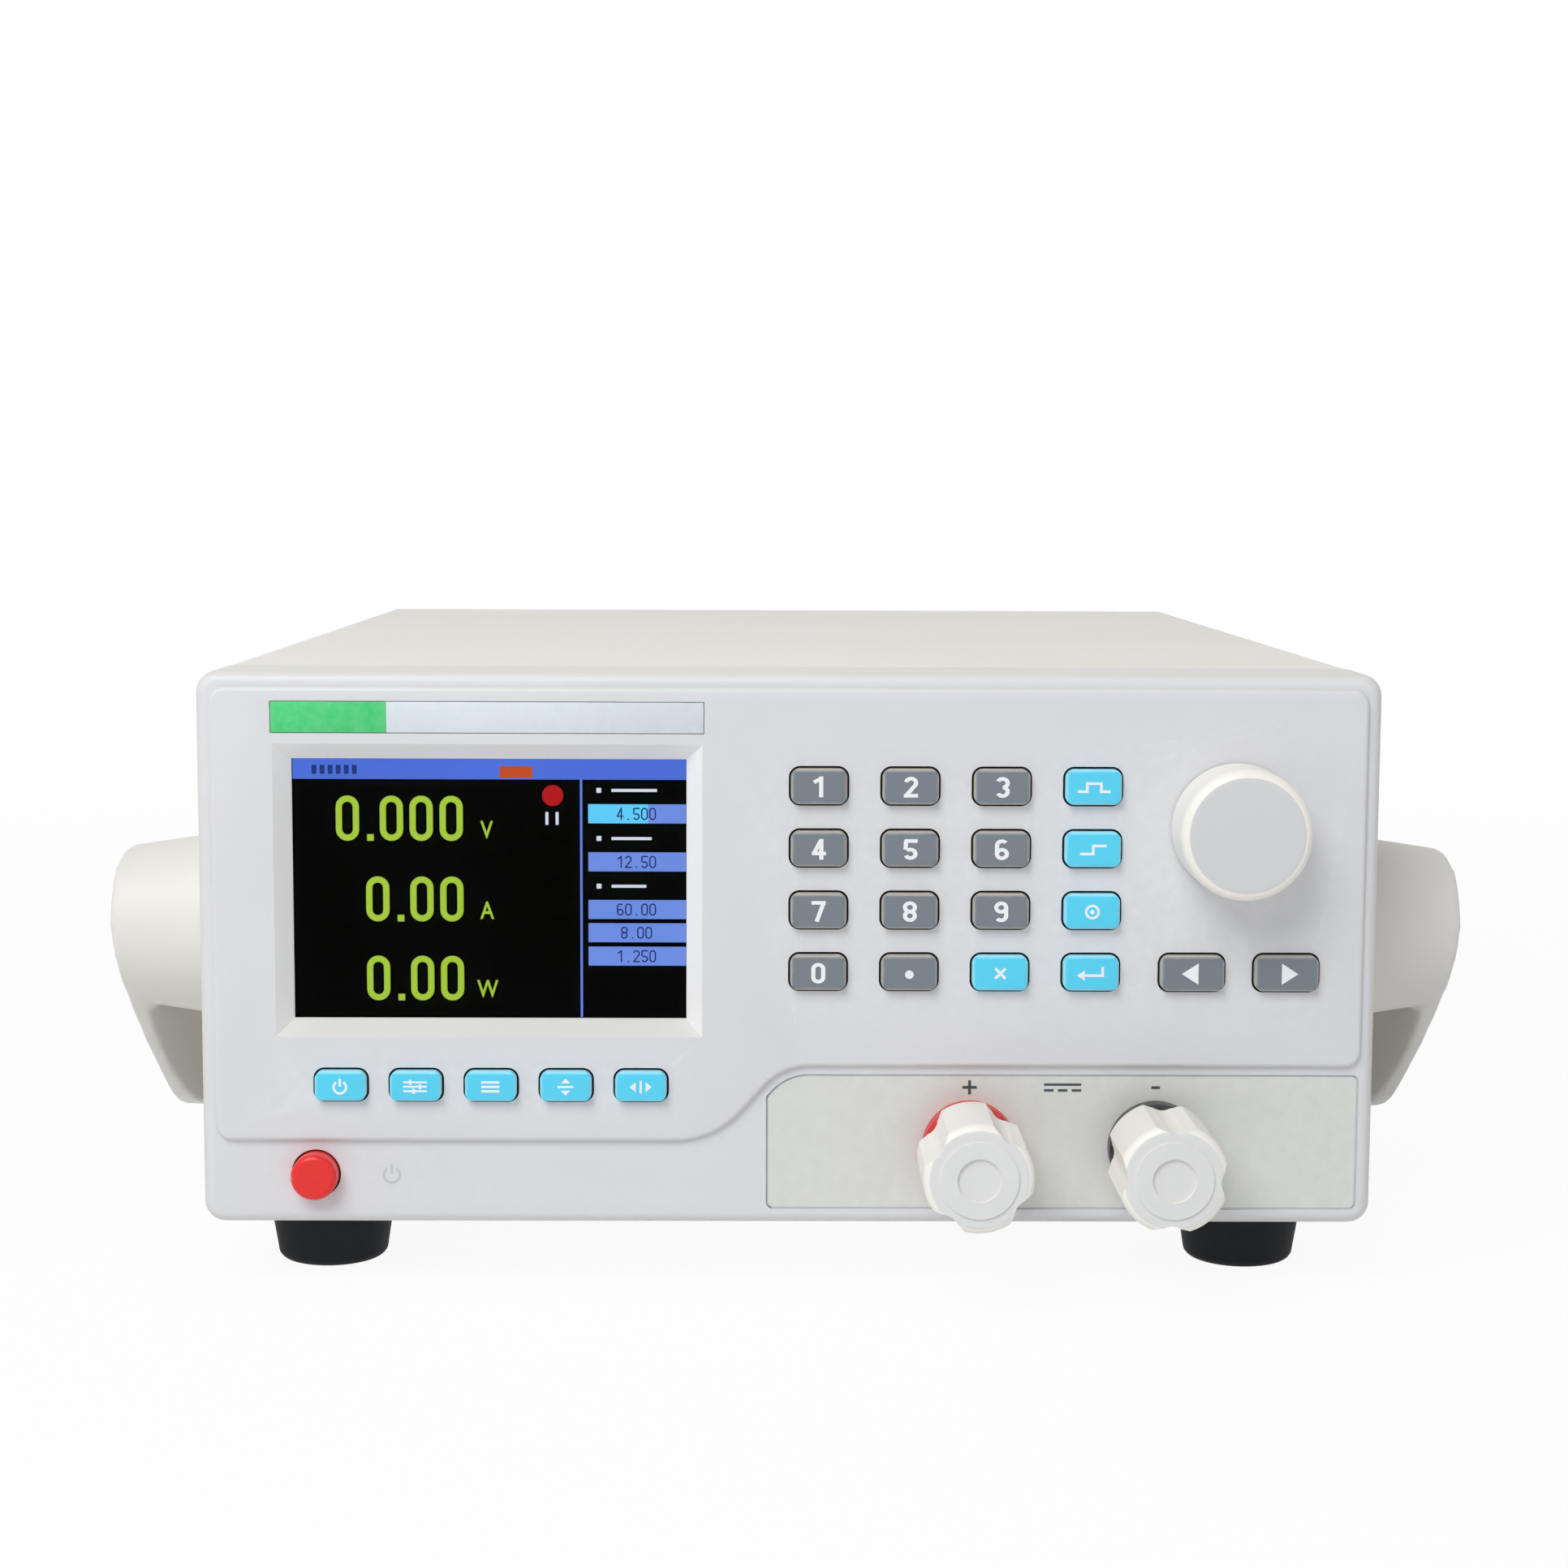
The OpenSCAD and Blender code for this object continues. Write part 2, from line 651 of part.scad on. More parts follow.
// Liquid-crystal panel in its steel tray
module display_module() {
    back_lip = 1.5;
    depth = board_gap - lens_t;
    color([0.1, 0.1, 0.12]) translate([display_x, 0, display_z]) difference() {
        along_y(bezel_wall + lens_t, depth)
            round_rect(display_w + 2 * display_rim, display_h + 2 * display_rim, 1);
        along_y(board_y - back_lip, back_lip + cut)
            square([display_w - 2 * display_rim, display_h - 2 * display_rim], center = true);
    }
}

// Rubber mats under the keys, with a window for each stem
module keypad_mat() {
    margin = 3.4;
    pad_lo = [pad_x - key_w / 2 - margin, pad_low_z - key_h / 2 - margin];
    pad_hi = [pad_x + 3 * pad_pitch_x + key_w / 2 + margin, pad_top_z + key_h / 2 + margin];
    arrow_hi = [arrow_right_x + arrow_w / 2 + margin, pad_low_z + arrow_h / 2 + margin];
    soft_lo = [soft_left_x - soft_w / 2 - margin, soft_z - soft_h / 2 - margin];
    soft_hi = [soft_left_x + 4 * soft_pitch + soft_w / 2 + margin, soft_z + soft_h / 2 + margin];
    color([0.7, 0.72, 0.74]) difference() {
        along_y(mat_y, mat_t) {
            translate(pad_lo) square(pad_hi - pad_lo);
            translate(pad_lo) square(arrow_hi - pad_lo);
            translate(soft_lo) square(soft_hi - soft_lo);
        }
        for (k = keys) along_y(mat_y - cut, mat_t + 2 * cut) translate([k[1], k[2]])
            round_rect(k[3] / 2 + 2 * slide_clear, k[4] / 2 + 2 * slide_clear, key_r / 2);
    }
}

// Board behind the front, cut away over the binding posts
module front_board() {
    margin = 4;
    left = [-case_w / 2 + margin, panel_low_z + 3];
    right = [pad_x - 16, panel_high_z + 4];
    top = [case_w / 2 - margin, case_h - margin - 1];
    color(board_green) difference() {
        along_y(board_y, board_t) {
            translate(left) square([right[0] - left[0], top[1] - left[1]]);
            translate(right) square(top - right);
        }
        for (p = boss_places) along_y(board_y - cut, board_t + 2 * cut) translate(p)
            circle(d = boss_hole_d);
    }
}

// Encoder: a housing on the front board and a bushing through the bezel
module encoder_body() {
    housing_front = bezel_wall + slide_clear;
    bushing_len = panel_rise + 3.4;
    color(steel) difference() {
        union() {
            translate([knob_x - encoder_w / 2, housing_front, knob_z - encoder_w / 2])
                cube([encoder_w, board_y - housing_front, encoder_w]);
            facing(knob_x, knob_z) translate([0, 0, -board_y])
                cylinder(d = bushing_d, h = board_y + bushing_len);
        }
        facing(knob_x, knob_z) translate([0, 0, -board_y + 1])
            cylinder(r = shaft_d / 2 + run_clear, h = board_y + bushing_len);
    }
}

module encoder_shaft() {
    color(steel) facing(knob_x, knob_z) translate([0, 0, -board_y + 1 + slide_clear])
        cylinder(d = shaft_d, h = board_y - 1 - slide_clear + panel_rise + knob_gap + knob_h - knob_face);
}

// Knob: a plain turned cap, hollow at the back over the bushing
module encoder_knob() {
    back = panel_rise + knob_gap;
    hollow_h = 4.4;
    hollow_r = bushing_d / 2 + 2.4;
    color(cream) facing(knob_x, knob_z) translate([0, 0, back]) difference() {
        rotate_extrude() {
            square([knob_d / 2, knob_h - knob_edge_r]);
            square([knob_d / 2 - knob_edge_r, knob_h]);
            translate([knob_d / 2 - knob_edge_r, knob_h - knob_edge_r]) intersection() {
                circle(knob_edge_r);
                square(knob_edge_r);
            }
        }
        translate([0, 0, -cut]) cylinder(r = hollow_r, h = hollow_h + cut);
        translate([0, 0, -cut]) cylinder(r = shaft_d / 2 + run_clear, h = knob_h - knob_face + cut);
    }
}

// Power button with its square plunger
module power_button() {
    dome_r = 1.2;
    cap_end = bezel_wall + 3;
    plunger_end = 16;
    color([0.9, 0.2, 0.18]) facing(power_x, power_z) {
        rotate_extrude() {
            translate([0, -cap_end]) square([power_d / 2, cap_end + power_rise - dome_r]);
            translate([0, -cap_end]) square([power_d / 2 - dome_r, cap_end + power_rise]);
            translate([power_d / 2 - dome_r, power_rise - dome_r]) intersection() {
                circle(dome_r);
                square(dome_r);
            }
        }
        translate([-plunger_w / 2, -plunger_w / 2, -plunger_end])
            cube([plunger_w, plunger_w, plunger_end - cap_end]);
    }
}

// Latching mains switch that the plunger works, standing on the bezel's floor
module power_switch() {
    hole_w = plunger_w + 2 * slide_clear;
    hole_len = 9;
    front = bezel_wall + 6.5;
    low = bezel_wall;
    color([0.16, 0.17, 0.18]) difference() {
        translate([power_x - switch_w / 2, front, low])
            cube([switch_w, switch_len, power_z + switch_w / 2 - low]);
        translate([power_x - hole_w / 2, front - cut, power_z - hole_w / 2])
            cube([hole_w, hole_len + cut, hole_w]);
    }
}

module terminal_plate() {
    color([0.80, 0.82, 0.80]) difference() {
        along_y(plate_y, plate_t) polygon(plate_outline(0));
        for (x = [post_left_x, post_right_x]) facing(x, post_z) translate([0, 0, -plate_pocket - cut])
            cylinder(d = neck_d + 2 * run_clear, h = plate_pocket + 2 * cut);
    }
}

// Insulating base of a post: a chamfered flange and a neck through the bezel
module post_base(x, tint) {
    chamfer = 0.8;
    color(tint) facing(x, post_z) difference() {
        union() {
            translate([0, 0, -plate_y]) cylinder(d = base_d, h = base_rise + plate_y - chamfer);
            translate([0, 0, base_rise - chamfer])
                cylinder(d1 = base_d, d2 = base_d - 2 * chamfer, h = chamfer);
            translate([0, 0, -lug_y]) cylinder(d = neck_d, h = lug_y);
        }
        translate([0, 0, -lug_y - cut])
            cylinder(r = stud_d / 2 + run_clear, h = lug_y + base_rise + 2 * cut);
    }
}

// Studs with the nuts that clamp the busbars
module post_hardware() {
    tail = lug_y + bar_t + nut_t + 2;
    color(brass) for (x = [post_left_x, post_right_x]) facing(x, post_z) {
        translate([0, 0, -tail]) cylinder(d = stud_d, h = tail + stud_front);
        translate([0, 0, -lug_y - bar_t - nut_t]) cylinder(d = nut_d, h = nut_t, $fn = 6);
    }
}

// Busbars: a lug on each stud and a strap on edge back to the main board
module busbars() {
    lug_w = nut_d + 5;
    strap_x = nut_d / 2 + 0.5;
    strap_h = 10;
    strap_end = strip_y0 + 14;
    color([0.78, 0.45, 0.25]) for (x = [post_left_x, post_right_x]) difference() {
        union() {
            translate([x - lug_w / 2, lug_y, main_board_top])
                cube([lug_w / 2 + strap_x + bar_t, bar_t, post_z + lug_w / 2 - main_board_top]);
            translate([x + strap_x, lug_y, main_board_top])
                cube([bar_t, strap_end - lug_y, strap_h]);
        }
        facing(x, post_z) translate([0, 0, -lug_y - bar_t - cut])
            cylinder(r = stud_d / 2 + run_clear, h = bar_t + 2 * cut);
    }
}

module clamp_ring(x) {
    color(brass) facing(x, post_z) translate([0, 0, base_rise + slide_clear])
        tube(ring_d / 2, stud_d / 2 + 2 * run_clear, ring_t);
}

// Outline of a cap: four broad lobes between stepped flutes
module cap_outline() {
    cap_r = cap_d / 2;
    wide_r = cap_r * 0.9;
    narrow_r = cap_r * 0.3;
    step = 0.3;
    difference() {
        circle(cap_r);
        for (a = [45:90:315]) rotate(a) {
            translate([cap_r - flute_depth + step + wide_r, 0]) circle(wide_r);
            translate([cap_r - flute_depth + narrow_r, 0]) circle(narrow_r);
        }
    }
}

// Screw cap of a post: fluted, with a rounded and stepped front and a shallow dish
module post_cap(x, turn) {
    cap_r = cap_d / 2;
    rim_step = 0.35;
    rim_r = cap_r * 0.7;
    dish_depth = 0.6;
    back_r = 0.6;
    bore_h = stud_front - cap_back + 1;
    color(cream) facing(x, post_z) translate([0, 0, cap_back]) rotate(turn) difference() {
        intersection() {
            linear_extrude(cap_len, convexity = 8) cap_outline();
            rotate_extrude() difference() {
                union() {
                    translate([0, back_r]) square([cap_r, cap_len - rim_step - cap_edge_r - back_r]);
                    square([cap_r - back_r, cap_len - rim_step - cap_edge_r]);
                    translate([cap_r - back_r, back_r]) circle(back_r);
                    square([cap_r - cap_edge_r, cap_len - rim_step]);
                    translate([cap_r - cap_edge_r, cap_len - rim_step - cap_edge_r]) circle(cap_edge_r);
                    square([rim_r, cap_len]);
                }
                translate([-cap_d, -cut]) square([cap_d, cap_len + 2 * cut]);
            }
        }
        translate([0, 0, -cut]) cylinder(r = stud_d / 2 + 2 * run_clear, h = bore_h + cut);
        translate([0, 0, cap_len - dish_depth]) cylinder(d = dish_d, h = dish_depth + cut);
    }
}

// Cover: top and two sides bent from one sheet, with vent slots towards the back
module top_cover() {
    length = case_d - bezel_d;
    vent_y0 = case_d - vent_from_back - (vent_count - 1) * vent_pitch;
    color(cream) difference() {
        along_y(bezel_d, length) difference() {
            union() {
                translate([-cover_half, 0]) square([2 * cover_half, cover_top - cover_r]);
                translate([cover_r - cover_half, 0]) square([2 * (cover_half - cover_r), cover_top]);
                for (s = [-1, 1]) translate([s * (cover_half - cover_r), cover_top - cover_r])
                    circle(cover_r);
            }
            translate([-inner_half, -cut]) square([2 * inner_half, cover_top - cover_r + cut]);
            translate([cover_r - cover_half, -cut])
                square([2 * (cover_half - cover_r), inner_top + cut]);
            for (s = [-1, 1]) translate([s * (cover_half - cover_r), cover_top - cover_r])
                circle(cover_r - sheet_t);
        }
        along_x(-cover_half - cut, 2 * (cover_half + cut)) for (i = [0:vent_count - 1])
            translate([vent_y0 + i * vent_pitch, fan_z]) slot(vent_w, vent_len);
        along_x(-cover_half - cut, 2 * (cover_half + cut)) {
            translate(pivot) circle(d = tail_d + 2 * run_clear);
            for (y = side_screw_ys) translate([y, side_screw_z]) circle(d = screw_d);
        }
    }
}

// Tray: floor, side flanges, two uprights behind the bezel, a rear flange and spacers for the main board
spacer_places = [
    [-inner_half + 12, strip_y0 + 5], [sink_x - 12, strip_y0 + 5], [post_right_x + 12, strip_y0 + 5],
    [-inner_half + 12, sink_y + sink_len - 24], [sink_x - 12, sink_y + sink_len - 24]
];

module chassis_tray() {
    front = bezel_d;
    length = rear_face - front;
    spacer_d = 7;
    intake_count = 8;
    color(steel) difference() {
        union() {
            translate([-inner_half, front, 0]) cube([2 * inner_half, length, sheet_t]);
            for (s = [0, 1]) mirror([s, 0, 0]) translate([inner_half - sheet_t, front, 0])
                cube([sheet_t, rear_in - front, tray_flange]);
            for (s = [0, 1]) mirror([s, 0, 0]) translate([inner_half - tray_upright, front, 0])
                cube([tray_upright, sheet_t, inner_top - cover_r]);
            translate([-inner_half, rear_in - sheet_t, 0])
                cube([2 * inner_half, sheet_t, rear_flange]);
            for (p = spacer_places) translate([p[0], p[1], floor_z]) cylinder(d = spacer_d, h = spacer_h);
        }
        for (p = foot_places) translate([p[0], p[1], -cut])
            cylinder(d = foot_screw_d + 2 * run_clear, h = sheet_t + 2 * cut);
        along_x(-cover_half - cut, 2 * (cover_half + cut)) for (y = side_screw_ys)
            translate([y, side_screw_z]) circle(d = screw_d);
        for (i = [0:intake_count - 1])
            translate([0, sink_y + 20 + i * vent_pitch, -cut])
                linear_extrude(sheet_t + 2 * cut) translate([fan_x, 0]) rotate(90) slot(vent_w, vent_len);
    }
}

// Openings in the rear panel
inlet_w = 27.6;
inlet_h = 20;
inlet_flange = [50, 24];
serial_body = [19, 11];
panel_screws = [for (x = [-1, 1], z = [floor_z + 14, inner_top - 8]) [x * (inner_half - 6), z]];
fan_screws = [for (x = [-1, 1], z = [-1, 1])
    [fan_x + x * fan_screw_pitch / 2, fan_z + z * fan_screw_pitch / 2]];

module rear_panel() {
    color(steel) difference() {
        translate([-inner_half, rear_in, floor_z])
            cube([2 * inner_half, sheet_t, inner_top - floor_z - cover_r]);
        along_y(rear_in - cut, sheet_t + 2 * cut) {
            translate([fan_x, fan_z]) circle(fan_bore_r);
            for (p = concat(fan_screws, panel_screws)) translate(p) circle(d = screw_d);
            translate([-inlet_x, inlet_z]) square([inlet_w, inlet_h], center = true);
            translate([-serial_x, serial_z]) square(serial_body, center = true);
        }
    }
}

// Rubber feet: tapered, with a rounded lower edge and a well for the screw
module feet() {
    well_d = 9;
    slope = (foot_top_d - foot_low_d) / 2;
    color(rubber_black) for (p = foot_places) translate([p[0], p[1], ground_z]) difference() {
        rotate_extrude() {
            polygon([[0, foot_edge_r], [foot_low_d / 2, foot_edge_r],
                [foot_low_d / 2 + slope, foot_h], [0, foot_h]]);
            square([foot_low_d / 2 - foot_edge_r, foot_h]);
            translate([foot_low_d / 2 - foot_edge_r, foot_edge_r]) circle(foot_edge_r);
        }
        translate([0, 0, -cut]) cylinder(d = well_d, h = foot_well_h + cut);
        cylinder(d = foot_screw_d + 2 * run_clear, h = foot_h + cut);
    }
}

// Pan-head screw along z: the head's seat at 0, the shank below it
module pan_screw(d, head_d, head_h, shank) {
    round_r = head_h * 0.6;
    rotate_extrude() {
        translate([0, -shank]) square([d / 2, shank + head_h / 2]);
        square([head_d / 2, head_h - round_r]);
        square([head_d / 2 - round_r, head_h]);
        translate([head_d / 2 - round_r, head_h - round_r]) intersection() {
            circle(round_r);
            square(round_r);
        }
    }
}

// Screws of the feet, the cover's sides, the rear panel and the fan guard
module screws() {
    head_h = 1.8;
    head_d = 5.6;
    foot_shank = foot_h - foot_well_h + sheet_t + 0.8;
    small_d = screw_d - 2 * run_clear;
    color(steel) {
        for (p = foot_places) translate([p[0], p[1], ground_z + foot_well_h]) rotate([180, 0, 0])
            pan_screw(foot_screw_d, 8, 2.4, foot_shank);
        for (s = [0, 1], y = side_screw_ys) mirror([s, 0, 0]) translate([cover_half, y, side_screw_z])
            rotate([0, 90, 0]) pan_screw(small_d, head_d, head_h, 2 * sheet_t + 2);
        for (p = panel_screws) backing(p[0], p[1]) pan_screw(small_d, head_d, head_h, sheet_t + 2);
        for (p = fan_screws) backing(p[0], p[1]) translate([0, 0, 2 * guard_wire_r])
            pan_screw(small_d, head_d, head_h, 2 * guard_wire_r + sheet_t + 6);
    }
}

// Pivot bolts on the cover's sides, each with its nut inside
module handle_pivots() {
    tail_len = sheet_t + 8;
    nut_h = 5;
    color(steel) for (s = [0, 1]) mirror([s, 0, 0]) translate([cover_half, pivot_y, pivot_z])
        rotate([0, 90, 0]) {
            cylinder(d = pin_flange_d, h = pin_flange_t);
            cylinder(d = pin_d, h = pin_end_x - cover_half);
            translate([0, 0, -tail_len]) cylinder(d = tail_d, h = tail_len + pin_flange_t);
            translate([0, 0, -sheet_t - nut_h]) cylinder(d = tail_d * 1.8, h = nut_h, $fn = 6);
        }
}

// Centre of the circle of radius r that holds two circles and touches them, left of the way from c1 to c2
function bow_centre(c1, r1, c2, r2, r) =
    let (d = c2 - c1, n = norm(d), u = d / n, a = r - r1, b = r - r2, t = (a * a - b * b + n * n) / (2 * n))
    c1 + u * t + [-u[1], u[0]] * sqrt(a * a - t * t);

// Angle of the way from one point to another
function way(from, to) = atan2(to[1] - from[1], to[0] - from[0]);

// Outline of an arm in y and z, anticlockwise: hub, bowed lower edge, both ends of the grip bar
function arm_points(hub_r, end_r) =
    let (upper = tangent_angles(pivot, hub_r, grip_back, end_r)[0],
         bow = bow_centre(pivot, hub_r, grip_front, end_r, arm_bow_r),
         first = way(bow, pivot) + 360,
         last = way(bow, grip_front) + 360)
    concat(
        arc(pivot, hub_r, upper, first, 24),
        arc(bow, arm_bow_r, first, last, 24),
        arc(grip_front, end_r, last, 270, 4),
        arc(grip_back, end_r, 270, upper + 360, 16));

// Section of the grip bar in y and z, drawn in by inset
module grip_section(inset) {
    translate([grip_y, grip_z]) rotate(90) slot(grip_h - 2 * inset, grip_w - 2 * inset);
}

// Frame on an arm's outer face at the pivot, with y along the arm and x to the outside
module along_arm(x) {
    translate([x, pivot_y, pivot_z]) rotate([arm_angle, 0, 0]) children();
}

// Right-hand arm: a domed blade that bends in to the grip bar, on a tapered pivot hub
module arm() {
    half = hub_outer_d / 2;
    dome_r = (half * half + arm_dome * arm_dome) / (2 * arm_dome);
    reach = arm_len + hub_d;
    difference() {
        intersection() {
            union() {
                translate([hub_in_x, pivot_y, pivot_z]) rotate([0, 90, 0])
                    cylinder(r1 = hub_d / 2, r2 = half, h = arm_out_x - hub_in_x);
                difference() {
                    along_x(arm_in_x, arm_out_x - arm_in_x) polygon(arm_points(half, grip_end_r));
                    along_arm(arm_out_x - arm_bend_r)
                        cylinder(r = arm_bend_r - arm_t, h = 2 * reach, center = true, $fn = 360);
                }
                along_x(arm_in_x, arm_block - arm_t / 2) grip_section(block_step);
            }
            along_arm(arm_out_x - dome_r) rotate([-90, 0, 0]) translate([0, 0, -hub_d])
                cylinder(r = dome_r, h = reach + hub_d, $fn = 96);
            along_arm(arm_out_x - arm_bend_r) cylinder(r = arm_bend_r, h = 2 * reach, center = true, $fn = 360);
        }
        translate([hub_in_x - cut, pivot_y, pivot_z]) rotate([0, 90, 0]) {
            cylinder(r = pin_d / 2 + run_clear, h = pin_end_x + slide_clear - hub_in_x + cut);
            cylinder(d = pin_flange_d + 4 * slide_clear, h = pin_flange_t + slide_clear - hub_gap + cut);
        }
        along_x(arm_in_x - cut, tenon_len + slide_clear + cut) grip_section(tenon_inset - run_clear);
    }
}

module handle_arm_left() {
    color(cream) mirror([1, 0, 0]) arm();
}

module handle_arm_right() {
    color(cream) arm();
}

// Grip bar between the arms, with a tenon at each end
module handle_grip() {
    tenon_x = arm_in_x + tenon_len;
    color(cream) {
        along_x(-arm_in_x, 2 * arm_in_x) grip_section(0);
        along_x(-tenon_x, 2 * tenon_x) grip_section(tenon_inset);
    }
}

// Fan frame: two flanges, a barrel, and spokes that carry the rotor's pin at the outlet
module fan_frame() {
    flange_h = 4;
    barrel_inset = 0.6;
    spoke_w = 4;
    mount_r = fan_hub_r - 1;
    pin_len = fan_d - fan_spoke_h - 6;
    color(rubber_black) backing(fan_x, fan_z) translate([0, 0, -sheet_t - fan_d]) {
        difference() {
            union() {
                for (z = [0, fan_d - flange_h]) translate([0, 0, z])
                    linear_extrude(flange_h) round_rect(fan_w, fan_w, 4);
                cylinder(r = fan_w / 2 - barrel_inset, h = fan_d);
            }
            translate([0, 0, -cut]) cylinder(r = fan_bore_r, h = fan_d + 2 * cut);
            for (x = [-1, 1], y = [-1, 1])
                translate([x * fan_screw_pitch / 2, y * fan_screw_pitch / 2, -cut])
                    cylinder(d = screw_d, h = fan_d + 2 * cut);
        }
        translate([0, 0, fan_d - fan_spoke_inset - fan_spoke_h]) {
            translate([0, 0, -pin_len]) cylinder(r = fan_pin_r, h = pin_len + fan_spoke_h);
            cylinder(r = mount_r, h = fan_spoke_h);
            for (a = [0:90:270]) rotate(a + 20) translate([mount_r - 1, -spoke_w / 2, fan_spoke_inset])
                cube([fan_bore_r + 1 - mount_r + 0.8, spoke_w, fan_spoke_h - 2 * fan_spoke_inset]);
        }
    }
}

// Fan rotor: a hub on the frame's pin and pitched blades
module fan_rotor() {
    front = 2;
    hub_h = fan_d - fan_spoke_inset - fan_spoke_h - front - 2 * slide_clear;
    blade_h = hub_h - 2;
    blade_t = 1.6;
    pitch = 52;
    tip_r = fan_bore_r - 1;
    root_r = fan_hub_r - 2;
    color([0.16, 0.17, 0.18]) backing(fan_x, fan_z) translate([0, 0, -sheet_t - fan_d + front]) difference() {
        union() {
            cylinder(r = fan_hub_r, h = hub_h);
            intersection() {
                for (i = [0:blade_count - 1]) rotate(i * 360 / blade_count)
                    translate([root_r, 0, hub_h / 2]) rotate([pitch, 0, 0])
                        translate([0, -blade_h, -blade_t / 2]) cube([fan_w / 2, 2 * blade_h, blade_t]);
                translate([0, 0, 1]) cylinder(r = tip_r, h = blade_h);
            }
        }
        translate([0, 0, 2]) cylinder(r = fan_pin_r + run_clear, h = hub_h);
    }
}

// Finger guard: wire rings on four legs that end in eyes under the fan screws
module fan_guard() {
    ring_z = guard_rise - guard_wire_r;
    first_r = 10;
    last_r = fan_bore_r - 2;
    leg_end = fan_screw_pitch / 2 * sqrt(2);
    eye_r = 3;
    color(steel) backing(fan_x, fan_z) {
        for (i = [0:guard_rings - 1])
            translate([0, 0, ring_z])
                rotate_extrude() translate([first_r + (last_r - first_r) * i / (guard_rings - 1), 0])
                    circle(guard_wire_r, $fn = 24);
        for (a = [45:90:315]) rotate(a) {
            translate([first_r, 0, guard_wire_r * 1.4]) rotate([0, 90, 0])
                cylinder(r = guard_wire_r, h = leg_end - eye_r - first_r, $fn = 24);
            translate([leg_end, 0, guard_wire_r])
                rotate_extrude() translate([eye_r, 0]) circle(guard_wire_r, $fn = 24);
        }
    }
}

// Heatsink: an extruded base on edge with fins across the fan's air stream
module heatsink() {
    low = floor_z;
    high = inner_top - 8;
    fin_pitch = (high - low - fin_t) / (fin_count - 1);
    color([0.72, 0.73, 0.74]) along_y(sink_y, sink_len) {
        translate([sink_x, low]) square([sink_base, high - low]);
        for (i = [0:fin_count - 1]) translate([sink_x, low + i * fin_pitch]) square([sink_w, fin_t]);
    }
}

// Power transistors screwed to the heatsink's base, their legs in the main board
module power_transistors() {
    body = [5, 16, 21];
    leg = [0.8, 1.2, 14];
    pitch = sink_len / transistor_count;
    color(rubber_black) for (i = [0:transistor_count - 1])
        translate([sink_x, sink_y + (i + 0.5) * pitch, main_board_top]) {
            translate([-body[0], -body[1] / 2, leg[2]]) cube(body);
            for (y = [-5.4, 0, 5.4]) translate([-2.8, y - leg[1] / 2, 0]) cube(leg + [0, 0, 1]);
        }
}

// Main board: a strip behind the posts and a wing beside the heatsink, with its larger parts
module main_board() {
    left = -inner_half + 5;
    right = post_right_x + 18;
    wing_right = sink_x;
    wing_end = sink_y + sink_len - 16;
    can_r = 9;
    can_h = 32;
    relay = [20, 28, 16];
    color(board_green) {
        translate([left, strip_y0, main_board_z]) cube([right - left, strip_y1 - strip_y0, board_t]);
        translate([left, strip_y0, main_board_z]) cube([wing_right - left, wing_end - strip_y0, board_t]);
        for (i = [0:2]) translate([left + 22, strip_y1 + 18 + i * (2 * can_r + 3), main_board_top])
            cylinder(r = can_r, h = can_h);
        for (i = [0, 1]) translate([left + 46 + i * 26, strip_y0 + 8, main_board_top]) cube(relay);
        translate([left + 44, strip_y1 + 20, main_board_top]) cube([24, 24, 3]);
    }
}

// Appliance inlet: a flange, a keyed socket behind the panel and its three blades
module mains_inlet() {
    flange_t = 3;
    depth = 20;
    socket = [24.4, 16.6];
    socket_depth = 16;
    key_cut = 4.6;
    blade = [2, 4, 10.5];
    color(rubber_black) backing(-inlet_x, inlet_z) {
        difference() {
            union() {
                linear_extrude(flange_t) round_rect(inlet_flange[0], inlet_flange[1], 5);
                translate([0, 0, -depth]) linear_extrude(depth + 1)
                    square([inlet_w - 2 * run_clear, inlet_h - 2 * run_clear], center = true);
            }
            translate([0, 0, flange_t - socket_depth]) linear_extrude(socket_depth + cut)
                polygon([[-socket[0] / 2, socket[1] / 2], [-socket[0] / 2, key_cut - socket[1] / 2],
                    [key_cut - socket[0] / 2, -socket[1] / 2], [socket[0] / 2 - key_cut, -socket[1] / 2],
                    [socket[0] / 2, key_cut - socket[1] / 2], [socket[0] / 2, socket[1] / 2]]);
        }
        for (p = [[-7, 2], [0, -2], [7, 2]])
            translate([p[0] - blade[0] / 2, p[1] - blade[1] / 2, flange_t - socket_depth - 1])
                cube(blade);
    }
}

// Small mains transformer for the control supply: a laminated core round a wound bobbin
module mains_transformer() {
    core = [50, 20, 42];
    coil = [26, 34, 30];
    foot = [62, 14, 2];
    middle = [-inner_half + 40, strip_y0 - 14];
    color([0.35, 0.34, 0.33]) translate([middle[0], middle[1], floor_z]) {
        translate([-core[0] / 2, -core[1] / 2, foot[2] / 2]) cube(core);
        translate([-coil[0] / 2, -coil[1] / 2, 7]) cube(coil - [0, 8, 0]);
        translate([-foot[0] / 2, -foot[1] / 2, 0]) cube(foot);
    }
}

